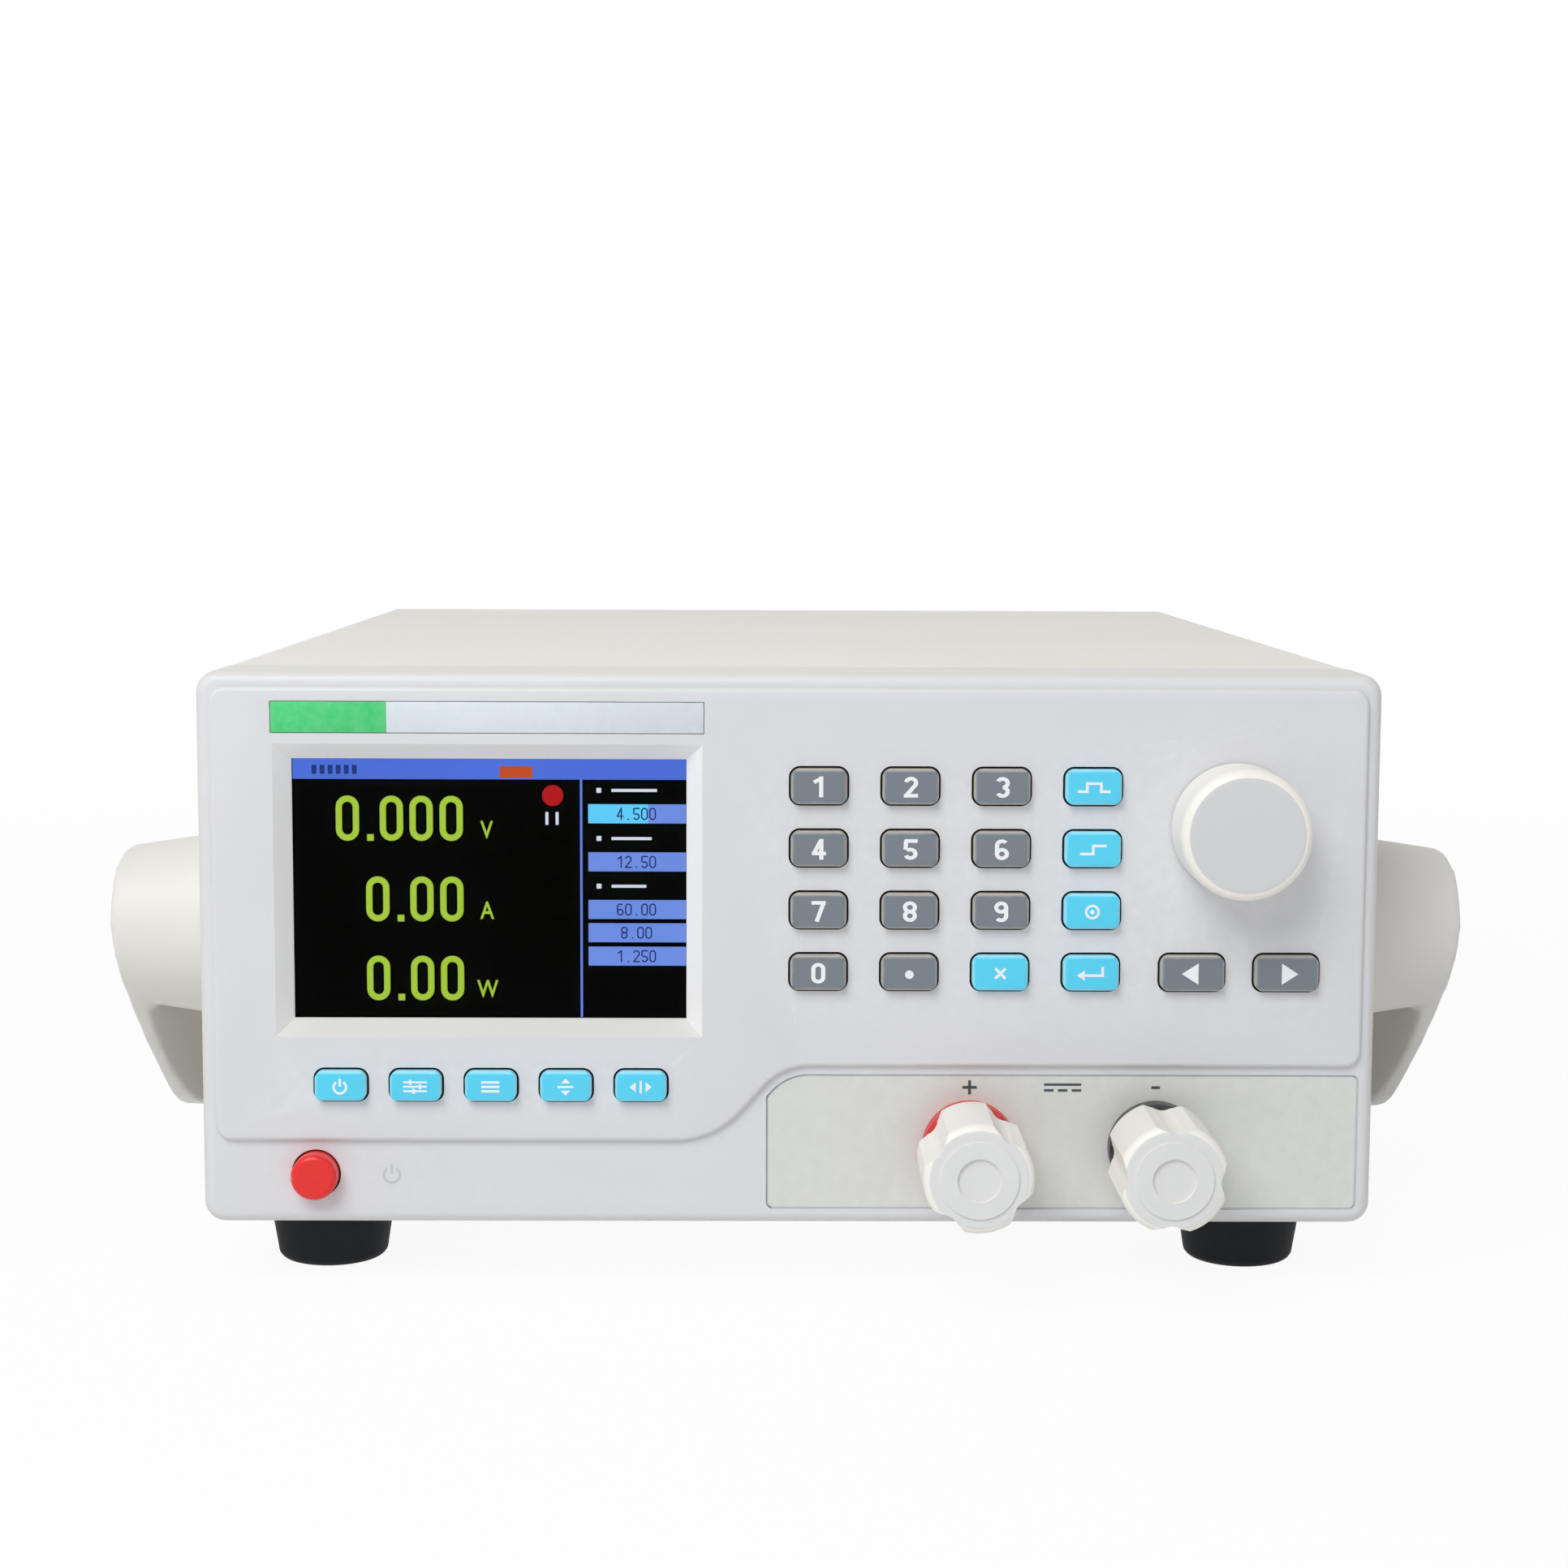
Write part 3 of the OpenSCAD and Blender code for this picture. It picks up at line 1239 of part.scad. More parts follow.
// Nine-way serial port with its two jack posts
module serial_port() {
    flange = [31, 12.6, 1];
    shell = [17, 8.4];
    shell_h = 3.6;
    post_pitch_x = 25;
    depth = 11;
    color(steel) backing(-serial_x, serial_z) {
        translate([0, 0, flange[2] / 2]) cube(flange, center = true);
        translate([0, 0, -depth]) linear_extrude(depth + flange[2] / 2)
            square(serial_body - [2, 2] * run_clear, center = true);
        linear_extrude(shell_h) polygon([[-shell[0] / 2, shell[1] / 2], [1 - shell[0] / 2, -shell[1] / 2],
            [shell[0] / 2 - 1, -shell[1] / 2], [shell[0] / 2, shell[1] / 2]]);
        for (s = [-1, 1]) translate([s * post_pitch_x / 2, 0, 0]) cylinder(d = 5.4, h = shell_h, $fn = 6);
    }
}

place() front_bezel();
place() display_lens();
place() display_module();
place() keypad_mat();
place() front_board();
place() encoder_body();
place() encoder_shaft();
place() encoder_knob();
place() power_button();
place() power_switch();
place() terminal_plate();
place() post_base(post_left_x, [0.85, 0.16, 0.15]);  // post_base_positive
place() post_base(post_right_x, rubber_black);  // post_base_negative
place() post_hardware();
place() busbars();
place() clamp_ring(post_left_x);  // clamp_ring_positive
place() clamp_ring(post_right_x);  // clamp_ring_negative
place() post_cap(post_left_x, cap_turn_left);  // post_cap_positive
place() post_cap(post_right_x, cap_turn_right);  // post_cap_negative
place() top_cover();
place() chassis_tray();
place() rear_panel();
place() feet();
place() screws();
place() handle_pivots();
place() handle_arm_left();
place() handle_arm_right();
place() handle_grip();
place() fan_frame();
place() fan_rotor();
place() fan_guard();
place() heatsink();
place() power_transistors();
place() main_board();
place() mains_inlet();
place() mains_transformer();
place() serial_port();
for (k = keys) place() key(k[1], k[2], k[3], k[4], k[5]);
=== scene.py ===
"""Looks of a bench electronic load: broken edges, legends, a lit display, finishes and a small studio."""

import json
import math

import bpy
from mathutils import Matrix, Vector


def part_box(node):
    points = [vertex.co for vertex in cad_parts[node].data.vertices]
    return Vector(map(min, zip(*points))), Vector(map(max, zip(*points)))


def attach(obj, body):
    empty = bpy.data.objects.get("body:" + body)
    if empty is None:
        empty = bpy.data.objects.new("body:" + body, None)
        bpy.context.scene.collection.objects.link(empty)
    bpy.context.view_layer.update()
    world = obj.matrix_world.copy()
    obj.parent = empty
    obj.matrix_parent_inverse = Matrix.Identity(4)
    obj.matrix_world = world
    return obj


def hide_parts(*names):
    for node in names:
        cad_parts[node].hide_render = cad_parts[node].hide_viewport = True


bl_info = {
    "name": "Bench electronic load",
    "version": (1, 0, 0),
    "blender": (4, 5, 0),
    "location": "View3D > Sidebar > Load",
    "description": "Dresses the packed solids of a bench electronic load and sets up its studio",
    "category": "Object",
}

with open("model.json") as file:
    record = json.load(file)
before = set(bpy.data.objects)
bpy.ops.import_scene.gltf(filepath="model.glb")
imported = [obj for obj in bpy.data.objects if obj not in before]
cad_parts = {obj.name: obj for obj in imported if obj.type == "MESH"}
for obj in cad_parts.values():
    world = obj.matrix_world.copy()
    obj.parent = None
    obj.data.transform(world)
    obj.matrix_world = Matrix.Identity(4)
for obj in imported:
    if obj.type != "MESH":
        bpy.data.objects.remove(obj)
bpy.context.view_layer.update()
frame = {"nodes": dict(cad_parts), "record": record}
NODES = frame["nodes"]
BODY_OF = {node: body for body, members in frame["record"]["behaviour"]["bodies"].items() for node in members}
SLOT_OF = {row["node"]: row["material_slot"] for row in frame["record"]["subparts"]}

MM = 0.001
CASE = "case"
DIGIT_KEYS = [f"key_{digit}" for digit in range(10)]
FUNCTION_KEYS = [f"key_function_{number}" for number in range(1, 6)]
SOFT_KEYS = [f"soft_key_{number}" for number in range(1, 6)]
ARROW_KEYS = ["key_left", "key_right"]

# Places in millimetres
DISPLAY_X, DISPLAY_Z = -55.9, 76.3
PICTURE_WIDTH, PICTURE_HEIGHT = 73.4, 48.9
BORDER_Y, PANEL_Y = -127, -128.2
STRIP_Y, STRIP_Z = -127.8, 108.7
PIVOT_Y, PIVOT_Z = -77, 62.3
SOCKET_X, INLET_Z = -66, 49
SERIAL_Y, SERIAL_Z = 152.6, 89


# Properties

def colour(name, words, *levels):
    """A colour as it looks on a screen, with levels from 0 to 255."""
    return bpy.props.FloatVectorProperty(name=name, description=words, subtype="COLOR_GAMMA", size=3, min=0, max=1,
                                         default=[level / 255 for level in levels])


def length(name, words, millimetres):
    """A length, given in millimetres and kept in metres."""
    return bpy.props.FloatProperty(name=name, description=words, unit="LENGTH", min=0, default=millimetres * MM)


class LoadColours(bpy.types.PropertyGroup):
    """Colours of the load's finishes"""
    shell: colour("Front shell", "Moulded front", 219, 220, 224)
    cover: colour("Cover", "Painted cover and rear panel", 236, 233, 226)
    handle: colour("Handle", "Moulded carrying handle", 226, 224, 219)
    # Painted light and shade: the sides of the knob and the caps take this lighter cream and their fronts the darker
    # greys below, lit and shaded copies of one plastic.
    knob: colour("Knob", "Side of the knob and the screw caps", 245, 242, 235)
    knob_front_painted_shade: colour("Knob face", "Front of the knob", 211, 212, 214)
    cap_front_painted_shade: colour("Cap faces", "Fronts of the screw caps", 224, 225, 225)
    # Painted highlight: the display's bevels belong to the shell but get this lighter colour, as they would look lit.
    frame: colour("Display frame", "Bevels round the display", 245, 245, 245)
    key_grey: colour("Grey keys", "Digit and arrow keys", 116, 125, 134)
    key_blue: colour("Blue keys", "Function and soft keys", 84, 212, 246)
    legend: colour("Legends", "Printed marks on the keys", 240, 243, 246)
    mark: colour("Front marks", "Printed marks on the front", 58, 72, 80)
    power_mark: colour("Power mark", "Faint printed sign beside the power button", 196, 199, 203)
    power: colour("Power button", "Moulded power button", 232, 44, 42)
    post_red: colour("Positive post", "Base of the positive post", 205, 32, 36)
    post_black: colour("Negative post", "Base of the negative post", 26, 27, 30)
    # Painted light: a pale colour for the filler that hides the shade in the groove round the terminal plate.
    groove: colour("Plate groove", "Bottom of the groove round the terminal plate", 196, 203, 210)
    plate: colour("Terminal plate", "Printed plate behind the posts", 213, 215, 211)
    strip_green: colour("Strip, left part", "Left part of the bare name strip", 60, 205, 115)
    strip_silver: colour("Strip, right part", "Right part of the bare name strip", 214, 224, 231)
    readout: colour("Readout", "Large digits of the display", 165, 200, 60)
    title_bar: colour("Title bar", "Bar along the top of the display", 75, 110, 215)
    field: colour("Field", "Number fields of the display", 110, 143, 228)
    field_lit: colour("Lit field", "Lit number field of the display", 95, 205, 250)
    tag: colour("Tag", "Small tag in the title bar", 190, 75, 35)
    lamp_dot: colour("State dot", "Round state mark of the display", 178, 16, 22)
    feet: colour("Feet", "Rubber feet", 26, 28, 32)
    black: colour("Black parts", "Fan, switch and inlet", 30, 31, 33)
    steel: colour("Steel", "Plated steel", 196, 198, 200)
    brass: colour("Brass", "Plated brass of the posts", 214, 205, 182)
    copper: colour("Copper", "Busbars", 190, 120, 84)
    aluminium: colour("Aluminium", "Heatsink", 190, 193, 197)
    board: colour("Boards", "Circuit boards", 34, 92, 58)
    floor: colour("Floor", "Studio floor", 244, 244, 244)


class LoadSizes(bpy.types.PropertyGroup):
    """Sizes of the load's fine detail"""
    arm_grain: length("Arm grain", "Size of the cells that a handle arm is moulded from", 0.7)
    arm_lift: length("Arm lift", "How far the lower edge of an arm is drawn up behind its hub", 4.4)
    digit: length("Key digit", "Height of a digit on a key", 3.85)
    print_depth: length("Print", "How far a printed mark stands proud", 0.05)
    strip_width: length("Strip width", "Width of the bare name strip", 79.8)
    strip_height: length("Strip height", "Height of the bare name strip", 5.7)
    strip_green: length("Strip, left part", "Width of the strip's left part", 21.3)
    readout_height: length("Readout height", "Height of a large digit", 8.5)
    readout_width: length("Readout width", "Width of a large digit", 4.35)
    readout_stroke: length("Readout stroke", "Stroke of a large digit", 1.17)
    key_light: bpy.props.FloatProperty(name="Key light", description="Power of the large light at the upper left",
                                       unit="POWER", min=0, default=14.5)
    sky: bpy.props.FloatProperty(name="Sky", description="Level of the even light from all round", min=0, default=0.41)


def colours():
    return bpy.context.scene.load_colours


def sizes():
    return bpy.context.scene.load_sizes


# Node groups and finishes

def linear(levels, share=1.0):
    """Light levels of a colour as it looks on a screen, times a share, with full opacity."""
    return [(level / 12.92 if level <= 0.04045 else ((level + 0.055) / 1.055) ** 2.4) * share for level in levels] + [1]


def feed(tree, socket, value):
    """Links an output to a socket, or sets a plain value on it."""
    if isinstance(value, bpy.types.NodeSocket):
        tree.links.new(value, socket)
    else:
        socket.default_value = value


def add(tree, kind, settings=None, **inputs):
    """A node with its settings and inputs; an input may be a value or the output of another node."""
    node = tree.nodes.new("ShaderNode" + kind)
    for name, value in (settings or {}).items():
        setattr(node, name, value)
    for name, value in inputs.items():
        feed(tree, node.inputs[name.replace("_", " ")], value)
    return node


def arithmetic(tree, operation, *values):
    """A Math node on values or outputs; its result is the output."""
    node = tree.nodes.new("ShaderNodeMath")
    node.operation = operation
    for socket, value in zip(node.inputs, values):
        feed(tree, socket, value)
    return node.outputs[0]


def mixed(tree, share, first, second):
    """The colour between two colours at a share."""
    node = tree.nodes.new("ShaderNodeMix")
    node.data_type = "RGBA"
    for place, value in ((0, share), (6, first), (7, second)):
        feed(tree, node.inputs[place], value)
    return node.outputs[2]


def ranged(tree, value, low, high, first=0.0, last=1.0):
    """A value spread from one range over another, held at the ends."""
    return add(tree, "MapRange", Value=value, From_Min=low, From_Max=high, To_Min=first, To_Max=last).outputs[0]


def new_group(name, inputs, outputs):
    """An empty shader group with float sockets, and its input and output nodes."""
    tree = bpy.data.node_groups.new(name, "ShaderNodeTree")
    for label, value in inputs.items():
        tree.interface.new_socket(name=label, in_out="INPUT", socket_type="NodeSocketFloat").default_value = value
    for label in outputs:
        tree.interface.new_socket(name=label, in_out="OUTPUT", socket_type="NodeSocketFloat")
    return tree, tree.nodes.new("NodeGroupInput"), tree.nodes.new("NodeGroupOutput")


def surface_group():
    """Grain of a moulded or painted surface: fine bumps, slow clouds of tone, rubbed edges and settled dust."""
    if "Moulded surface" in bpy.data.node_groups:
        return bpy.data.node_groups["Moulded surface"]
    tree, given, result = new_group("Moulded surface", {"Grain": 2500.0, "Clouds": 18.0},
                                    ["Height", "Cloud", "Speck", "Rubbed", "Dust"])
    place = add(tree, "TexCoord").outputs["Object"]
    form = add(tree, "NewGeometry")
    fine = add(tree, "TexNoise", Vector=place, Scale=given.outputs["Grain"], Detail=3.0, Roughness=0.55)
    slow = add(tree, "TexNoise", Vector=place, Scale=given.outputs["Clouds"], Detail=4.0, Roughness=0.6)
    patchy = add(tree, "TexNoise", Vector=place, Scale=420.0, Detail=3.0, Roughness=0.6)
    cloud = ranged(tree, slow.outputs[0], 0.3, 0.7)
    rim = ranged(tree, form.outputs["Pointiness"], 0.515, 0.6)
    upward = add(tree, "SeparateXYZ", Vector=form.outputs["Normal"]).outputs["Z"]
    pairs = {
        "Height": fine.outputs[0],
        "Cloud": cloud,
        "Speck": ranged(tree, patchy.outputs[0], 0.62, 0.72),
        "Rubbed": arithmetic(tree, "MULTIPLY", rim, ranged(tree, patchy.outputs[0], 0.35, 0.65)),
        "Dust": arithmetic(tree, "MULTIPLY", ranged(tree, upward, 0.5, 1.0), cloud),
    }
    for name, output in pairs.items():
        tree.links.new(output, result.inputs[name])
    return tree


def brushed_group():
    """Fine lines drawn along one axis, for plated and machined metal."""
    if "Drawn metal" in bpy.data.node_groups:
        return bpy.data.node_groups["Drawn metal"]
    tree, given, result = new_group("Drawn metal", {"Lines": 2200.0, "Run": 60.0}, ["Line", "Stain"])
    place = add(tree, "TexCoord").outputs["Object"]
    stretch = add(tree, "CombineXYZ", X=given.outputs["Run"], Y=given.outputs["Lines"], Z=given.outputs["Lines"])
    drawn = add(tree, "VectorMath", {"operation": "MULTIPLY"})
    tree.links.new(place, drawn.inputs[0])
    tree.links.new(stretch.outputs[0], drawn.inputs[1])
    lines = add(tree, "TexNoise", Vector=drawn.outputs[0], Scale=1.0, Detail=2.0)
    stain = add(tree, "TexNoise", Vector=place, Scale=55.0, Detail=5.0, Roughness=0.62)
    tree.links.new(lines.outputs[0], result.inputs["Line"])
    tree.links.new(ranged(tree, stain.outputs[0], 0.35, 0.7), result.inputs["Stain"])
    return tree


def new_finish(name):
    """A new material with its node tree and its Principled shader."""
    material = bpy.data.materials.new(name)
    material.use_nodes = True
    return material, material.node_tree, material.node_tree.nodes["Principled BSDF"]


def moulded(name, base, roughness, grain=0.4, depth=0.012, tone=0.05, rub=0.25, dust=0.0, sheen=0.5, rim=None):
    """A moulded or painted finish; grain and depth are in millimetres, and rim is a painted highlight: a colour mixed
    into what turns away from the front, standing in for the light its edges catch.
    """
    if name in bpy.data.materials:
        return bpy.data.materials[name]
    material, tree, shader = new_finish(name)
    surface = add(tree, "Group", {"node_tree": surface_group()}, Grain=1 / (grain * MM), Clouds=22.0)
    body = mixed(tree, surface.outputs["Cloud"], linear(base, 1 - tone), linear(base, 1 + tone * 0.4))
    if rim:
        # Painted highlight: faces that turn away from the front are mixed toward the rim colour.
        front = add(tree, "SeparateXYZ", Vector=add(tree, "NewGeometry").outputs["Normal"]).outputs["Y"]
        body = mixed(tree, ranged(tree, front, -0.97, -0.6), body, linear(rim))
    rubbed = mixed(tree, arithmetic(tree, "MULTIPLY", surface.outputs["Rubbed"], rub), body,
                   linear([level + (1 - level) * 0.5 for level in base]))
    dusty = mixed(tree, arithmetic(tree, "MULTIPLY", surface.outputs["Dust"], dust), rubbed, linear((0.78, 0.76, 0.72)))
    tree.links.new(dusty, shader.inputs["Base Color"])
    tree.links.new(ranged(tree, surface.outputs["Cloud"], 0, 1, roughness - 0.05, roughness + 0.05),
                   shader.inputs["Roughness"])
    bump = add(tree, "Bump", Strength=1.0, Distance=depth * MM, Height=surface.outputs["Height"])
    tree.links.new(bump.outputs[0], shader.inputs["Normal"])
    shader.inputs["Specular IOR Level"].default_value = sheen
    return material


def metal(name, base, roughness, lines=0.4, run=15.0, depth=0.004, stain=0.25):
    """A plated or machined metal; lines and run are the spacing and the length of its lines in millimetres."""
    if name in bpy.data.materials:
        return bpy.data.materials[name]
    material, tree, shader = new_finish(name)
    drawn = add(tree, "Group", {"node_tree": brushed_group()}, Lines=1 / (lines * MM), Run=1 / (run * MM))
    tint = mixed(tree, arithmetic(tree, "MULTIPLY", drawn.outputs["Stain"], stain), linear(base), linear(base, 0.55))
    tree.links.new(tint, shader.inputs["Base Color"])
    tree.links.new(ranged(tree, drawn.outputs["Line"], 0.3, 0.7, roughness - 0.08, roughness + 0.08),
                   shader.inputs["Roughness"])
    bump = add(tree, "Bump", Strength=1.0, Distance=depth * MM, Height=drawn.outputs["Line"])
    tree.links.new(bump.outputs[0], shader.inputs["Normal"])
    shader.inputs["Metallic"].default_value = 1.0
    return material


def glowing(name, base, strength=1.0):
    """A lit patch of the display, a little uneven, over a black ground."""
    if name in bpy.data.materials:
        return bpy.data.materials[name]
    material, tree, shader = new_finish(name)
    surface = add(tree, "Group", {"node_tree": surface_group()}, Grain=9000.0, Clouds=30.0)
    light = mixed(tree, surface.outputs["Cloud"], linear(base, 0.94), linear(base, 1.04))
    tree.links.new(light, shader.inputs["Emission Color"])
    shader.inputs["Emission Strength"].default_value = strength
    shader.inputs["Base Color"].default_value = linear((0.03, 0.03, 0.03))
    shader.inputs["Roughness"].default_value = 0.6
    shader.inputs["Specular IOR Level"].default_value = 0.05
    return material


def clear_plastic():
    """The thin clear window over the display."""
    name = "Clear window"
    if name in bpy.data.materials:
        return bpy.data.materials[name]
    material, tree, shader = new_finish(name)
    surface = add(tree, "Group", {"node_tree": surface_group()}, Grain=700.0, Clouds=25.0)
    tree.links.new(ranged(tree, surface.outputs["Speck"], 0, 1, 0.04, 0.12), shader.inputs["Roughness"])
    shader.inputs["Transmission Weight"].default_value = 1.0
    shader.inputs["IOR"].default_value = 1.12
    shader.inputs["Base Color"].default_value = (0.96, 0.97, 0.98, 1)
    return material


def finish_of(slot):
    """The finish that a material slot of the record takes."""
    shade = colours()
    makers = {
        # Painted light: the shell's faces that turn away from the front take a warmer tint, standing in for the warm
        # light on its edges.
        "bezel_plastic": lambda: moulded("Front shell plastic", shade.shell, 0.46, grain=0.5, depth=0.008, tone=0.025,
                                         rim=(0.86, 0.855, 0.84)),
        "cover_paint": lambda: moulded("Cover paint", shade.cover, 0.5, grain=0.7, depth=0.02, tone=0.025, dust=0.06),
        "handle_plastic": lambda: moulded("Handle plastic", shade.handle, 0.5, grain=0.5, depth=0.014, tone=0.03),
        "knob_plastic": lambda: moulded("Knob plastic", shade.knob, 0.42, grain=0.4, depth=0.006, tone=0.025),
        # Painted highlights: the keys' rounded edges take a paler, warmer grey and a paler blue, standing in for the
        # light they catch.
        "key_grey": lambda: moulded("Grey key plastic", shade.key_grey, 0.42, grain=0.3, depth=0.006, rub=0.2,
                                    rim=(0.72, 0.7, 0.66)),
        "key_blue": lambda: moulded("Blue key plastic", shade.key_blue, 0.4, grain=0.3, depth=0.006, rub=0.2,
                                    rim=(0.62, 0.9, 0.98)),
        "button_red": lambda: moulded("Red button plastic", shade.power, 0.24, grain=0.3, depth=0.003, rub=0.3,
                                      sheen=0.35),
        "post_red": lambda: moulded("Red post plastic", shade.post_red, 0.35, grain=0.4, depth=0.006),
        "post_black": lambda: moulded("Black post plastic", shade.post_black, 0.35, grain=0.4, depth=0.006),
        "plate_print": lambda: moulded("Terminal plate print", shade.plate, 0.5, grain=0.35, depth=0.006, tone=0.012),
        "lens_clear": clear_plastic,
        "display_black": lambda: moulded("Display black", (0.035, 0.04, 0.045), 0.5, grain=0.3, depth=0.001, rub=0.0,
                                         sheen=0.05),
        "mat_rubber": lambda: moulded("Key mat rubber", (0.09, 0.092, 0.1), 0.75, grain=0.3, depth=0.02),
        "board_green": lambda: moulded("Circuit board", shade.board, 0.45, grain=1.2, depth=0.03, tone=0.25),
        "foot_rubber": lambda: moulded("Foot rubber", shade.feet, 0.7, grain=0.5, depth=0.02, tone=0.08, rub=0.0,
                                       dust=0.12, sheen=0.25),
        "steel_plated": lambda: metal("Plated steel", shade.steel, 0.34),
        "brass_plated": lambda: metal("Plated brass", shade.brass, 0.26, lines=0.25, run=4.0),
        "busbar_copper": lambda: metal("Busbar copper", shade.copper, 0.36, lines=0.3, run=30.0, stain=0.5),
        "black_plastic": lambda: moulded("Black moulded plastic", shade.black, 0.5, grain=0.4, depth=0.015, tone=0.06),
        "heatsink_aluminium": lambda: metal("Drawn aluminium", shade.aluminium, 0.38, lines=0.5, run=60.0),
        "transformer_core": lambda: metal("Core plates", (0.33, 0.33, 0.35), 0.5, lines=0.5, run=60.0, stain=0.5),
    }
    return makers[slot]()


# Making pieces

def work_on(piece):
    """Only this piece is selected and active, in object mode."""
    bpy.ops.object.select_all(action="DESELECT")
    piece.select_set(True)
    bpy.context.view_layer.objects.active = piece
    return piece


def keep_place():
    """Puts the place, turn and scale of what is selected into its mesh."""
    bpy.ops.object.transform_apply(location=True, rotation=True, scale=True)


def edit(piece, select="SELECT"):
    """The piece goes into edit mode with all or nothing selected."""
    work_on(piece)
    bpy.ops.object.mode_set(mode="EDIT")
    bpy.ops.mesh.select_all(action=select)


def leave_edit():
    bpy.ops.object.mode_set(mode="OBJECT")


def soften(piece, width, segments=3, corner=35):
    """Rounds the edges that turn more than corner degrees, then shades the piece smooth."""
    work_on(piece)
    if width:
        rounding = piece.modifiers.new("Rounded edges", "BEVEL")
        rounding.width = width
        rounding.segments = segments
        rounding.limit_method = "ANGLE"
        rounding.angle_limit = math.radians(corner)
        rounding.use_clamp_overlap = False
        bpy.ops.object.modifier_apply(modifier=rounding.name)
    bpy.ops.object.shade_smooth_by_angle(angle=math.radians(corner))
    return piece


def settle(piece, body, slot, *finishes):
    """Gives a piece its finishes, taken from its slot of the record when none are given, and its body."""
    piece.data.materials.clear()
    for finish in finishes or [finish_of(slot)]:
        piece.data.materials.append(finish)
    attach(piece, body)
    return piece


def dressed(node, width, segments=2, corner=35, flat=1.0):
    """A copy of a solid with merged faces and rounded edges, which stands for that solid."""
    piece = bpy.data.objects.new(node + "_finish", NODES[node].data.copy())
    bpy.context.scene.collection.objects.link(piece)
    work_on(piece)
    bpy.ops.mesh.customdata_custom_splitnormals_clear()
    edit(piece)
    bpy.ops.mesh.remove_doubles(threshold=0.002 * MM)
    bpy.ops.mesh.dissolve_limited(angle_limit=math.radians(flat))
    leave_edit()
    soften(piece, width, segments, corner)
    settle(piece, BODY_OF[node], SLOT_OF[node])
    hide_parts(node)
    return piece


def plain(node, finish=None):
    """A solid that keeps its own mesh and only gets a finish."""
    data = NODES[node].data
    data.materials.clear()
    data.materials.append(finish or finish_of(SLOT_OF[node]))


def slab(size, centre, turn=0.0):
    """A flat plate lying in x and y, turned about z."""
    bpy.ops.object.select_all(action="DESELECT")
    bpy.ops.mesh.primitive_cube_add(size=1, location=centre, rotation=(0, 0, turn))
    piece = bpy.context.object
    piece.scale = size
    keep_place()
    return piece


def disc(radius, depth, centre, steps=48):
    """A flat round plate lying in x and y."""
    bpy.ops.object.select_all(action="DESELECT")
    bpy.ops.mesh.primitive_cylinder_add(vertices=steps, radius=radius, depth=depth, location=centre)
    keep_place()
    return bpy.context.object


def wedge(width, height, depth, centre, turn):
    """A triangle lying in x and y that points along x before it is turned."""
    bpy.ops.object.select_all(action="DESELECT")
    bpy.ops.mesh.primitive_cylinder_add(vertices=3, radius=1, depth=depth, rotation=(0, 0, -math.pi / 2))
    piece = bpy.context.object
    keep_place()
    piece.scale = (width / 1.5, height / math.sqrt(3), 1)
    keep_place()
    piece.rotation_euler = (0, 0, turn)
    piece.location = centre
    keep_place()
    return piece


def arc(radius, stroke, depth, centre, start, sweep, steps=40):
    """A curved stroke lying in x and y: a small square face spun round the centre."""
    bpy.ops.object.select_all(action="DESELECT")
    bpy.ops.mesh.primitive_plane_add(size=1, rotation=(math.pi / 2, 0, 0))
    piece = bpy.context.object
    piece.scale = (stroke, depth, 1)
    keep_place()
    piece.location = (radius, 0, 0)
    keep_place()
    piece.rotation_euler = (0, 0, start)
    keep_place()
    edit(piece)
    bpy.ops.mesh.spin(steps=steps, angle=sweep, center=(0, 0, 0), axis=(0, 0, -1))
    bpy.ops.mesh.select_all(action="SELECT")
    bpy.ops.mesh.remove_doubles(threshold=0.001 * MM)
    bpy.ops.mesh.normals_make_consistent(inside=False)
    leave_edit()
    piece.location = centre
    keep_place()
    return piece


def surround(width, height, corner, rim, depth):
    """A flat rounded plate lying in x and y, or a frame that is open in the middle where it has a rim."""
    bpy.ops.object.select_all(action="DESELECT")
    bpy.ops.mesh.primitive_plane_add(size=1)
    piece = bpy.context.object
    piece.scale = (width, height, 1)
    keep_place()
    edit(piece)
    bpy.ops.mesh.bevel(offset=corner, segments=8, affect="VERTICES")
    bpy.ops.mesh.select_all(action="SELECT")
    if rim:
        bpy.ops.mesh.inset(thickness=rim)
        bpy.ops.mesh.delete(type="FACE")
        bpy.ops.mesh.select_all(action="SELECT")
    bpy.ops.mesh.extrude_region_move(TRANSFORM_OT_translate={"value": (0, 0, -depth)})
    bpy.ops.mesh.select_all(action="SELECT")
    bpy.ops.mesh.normals_make_consistent(inside=False)
    leave_edit()
    return piece


def words(text, height, depth, bold=0.0, squeeze=1.0):
    """Figures lying in x and y round the origin, made from text and turned into a mesh of a given height."""
    bpy.ops.object.select_all(action="DESELECT")
    bpy.ops.object.text_add()
    piece = bpy.context.object
    piece.data.body = text
    piece.data.align_x = "CENTER"
    piece.data.offset = bold
    piece.data.extrude = 0.5
    piece.data.resolution_u = 6
    bpy.ops.object.convert(target="MESH")
    piece = bpy.context.object
    spots = [vertex.co for vertex in piece.data.vertices]
    low = Vector([min(spot[axis] for spot in spots) for axis in range(3)])
    high = Vector([max(spot[axis] for spot in spots) for axis in range(3)])
    share = height / (high.y - low.y)
    piece.location = -(low + high) / 2
    keep_place()
    piece.scale = (share * squeeze, share, depth / (high.z - low.z))
    keep_place()
    edit(piece)
    bpy.ops.mesh.remove_doubles(threshold=0.001 * MM)
    leave_edit()
    return piece


def stroke(start, end, width, depth):
    """A straight stroke lying in x and y between two points."""
    along = Vector(end) - Vector(start)
    spot = (Vector(start) + Vector(end)) / 2
    return slab((along.length, width, depth), (spot.x, spot.y, 0), turn=math.atan2(along.y, along.x))


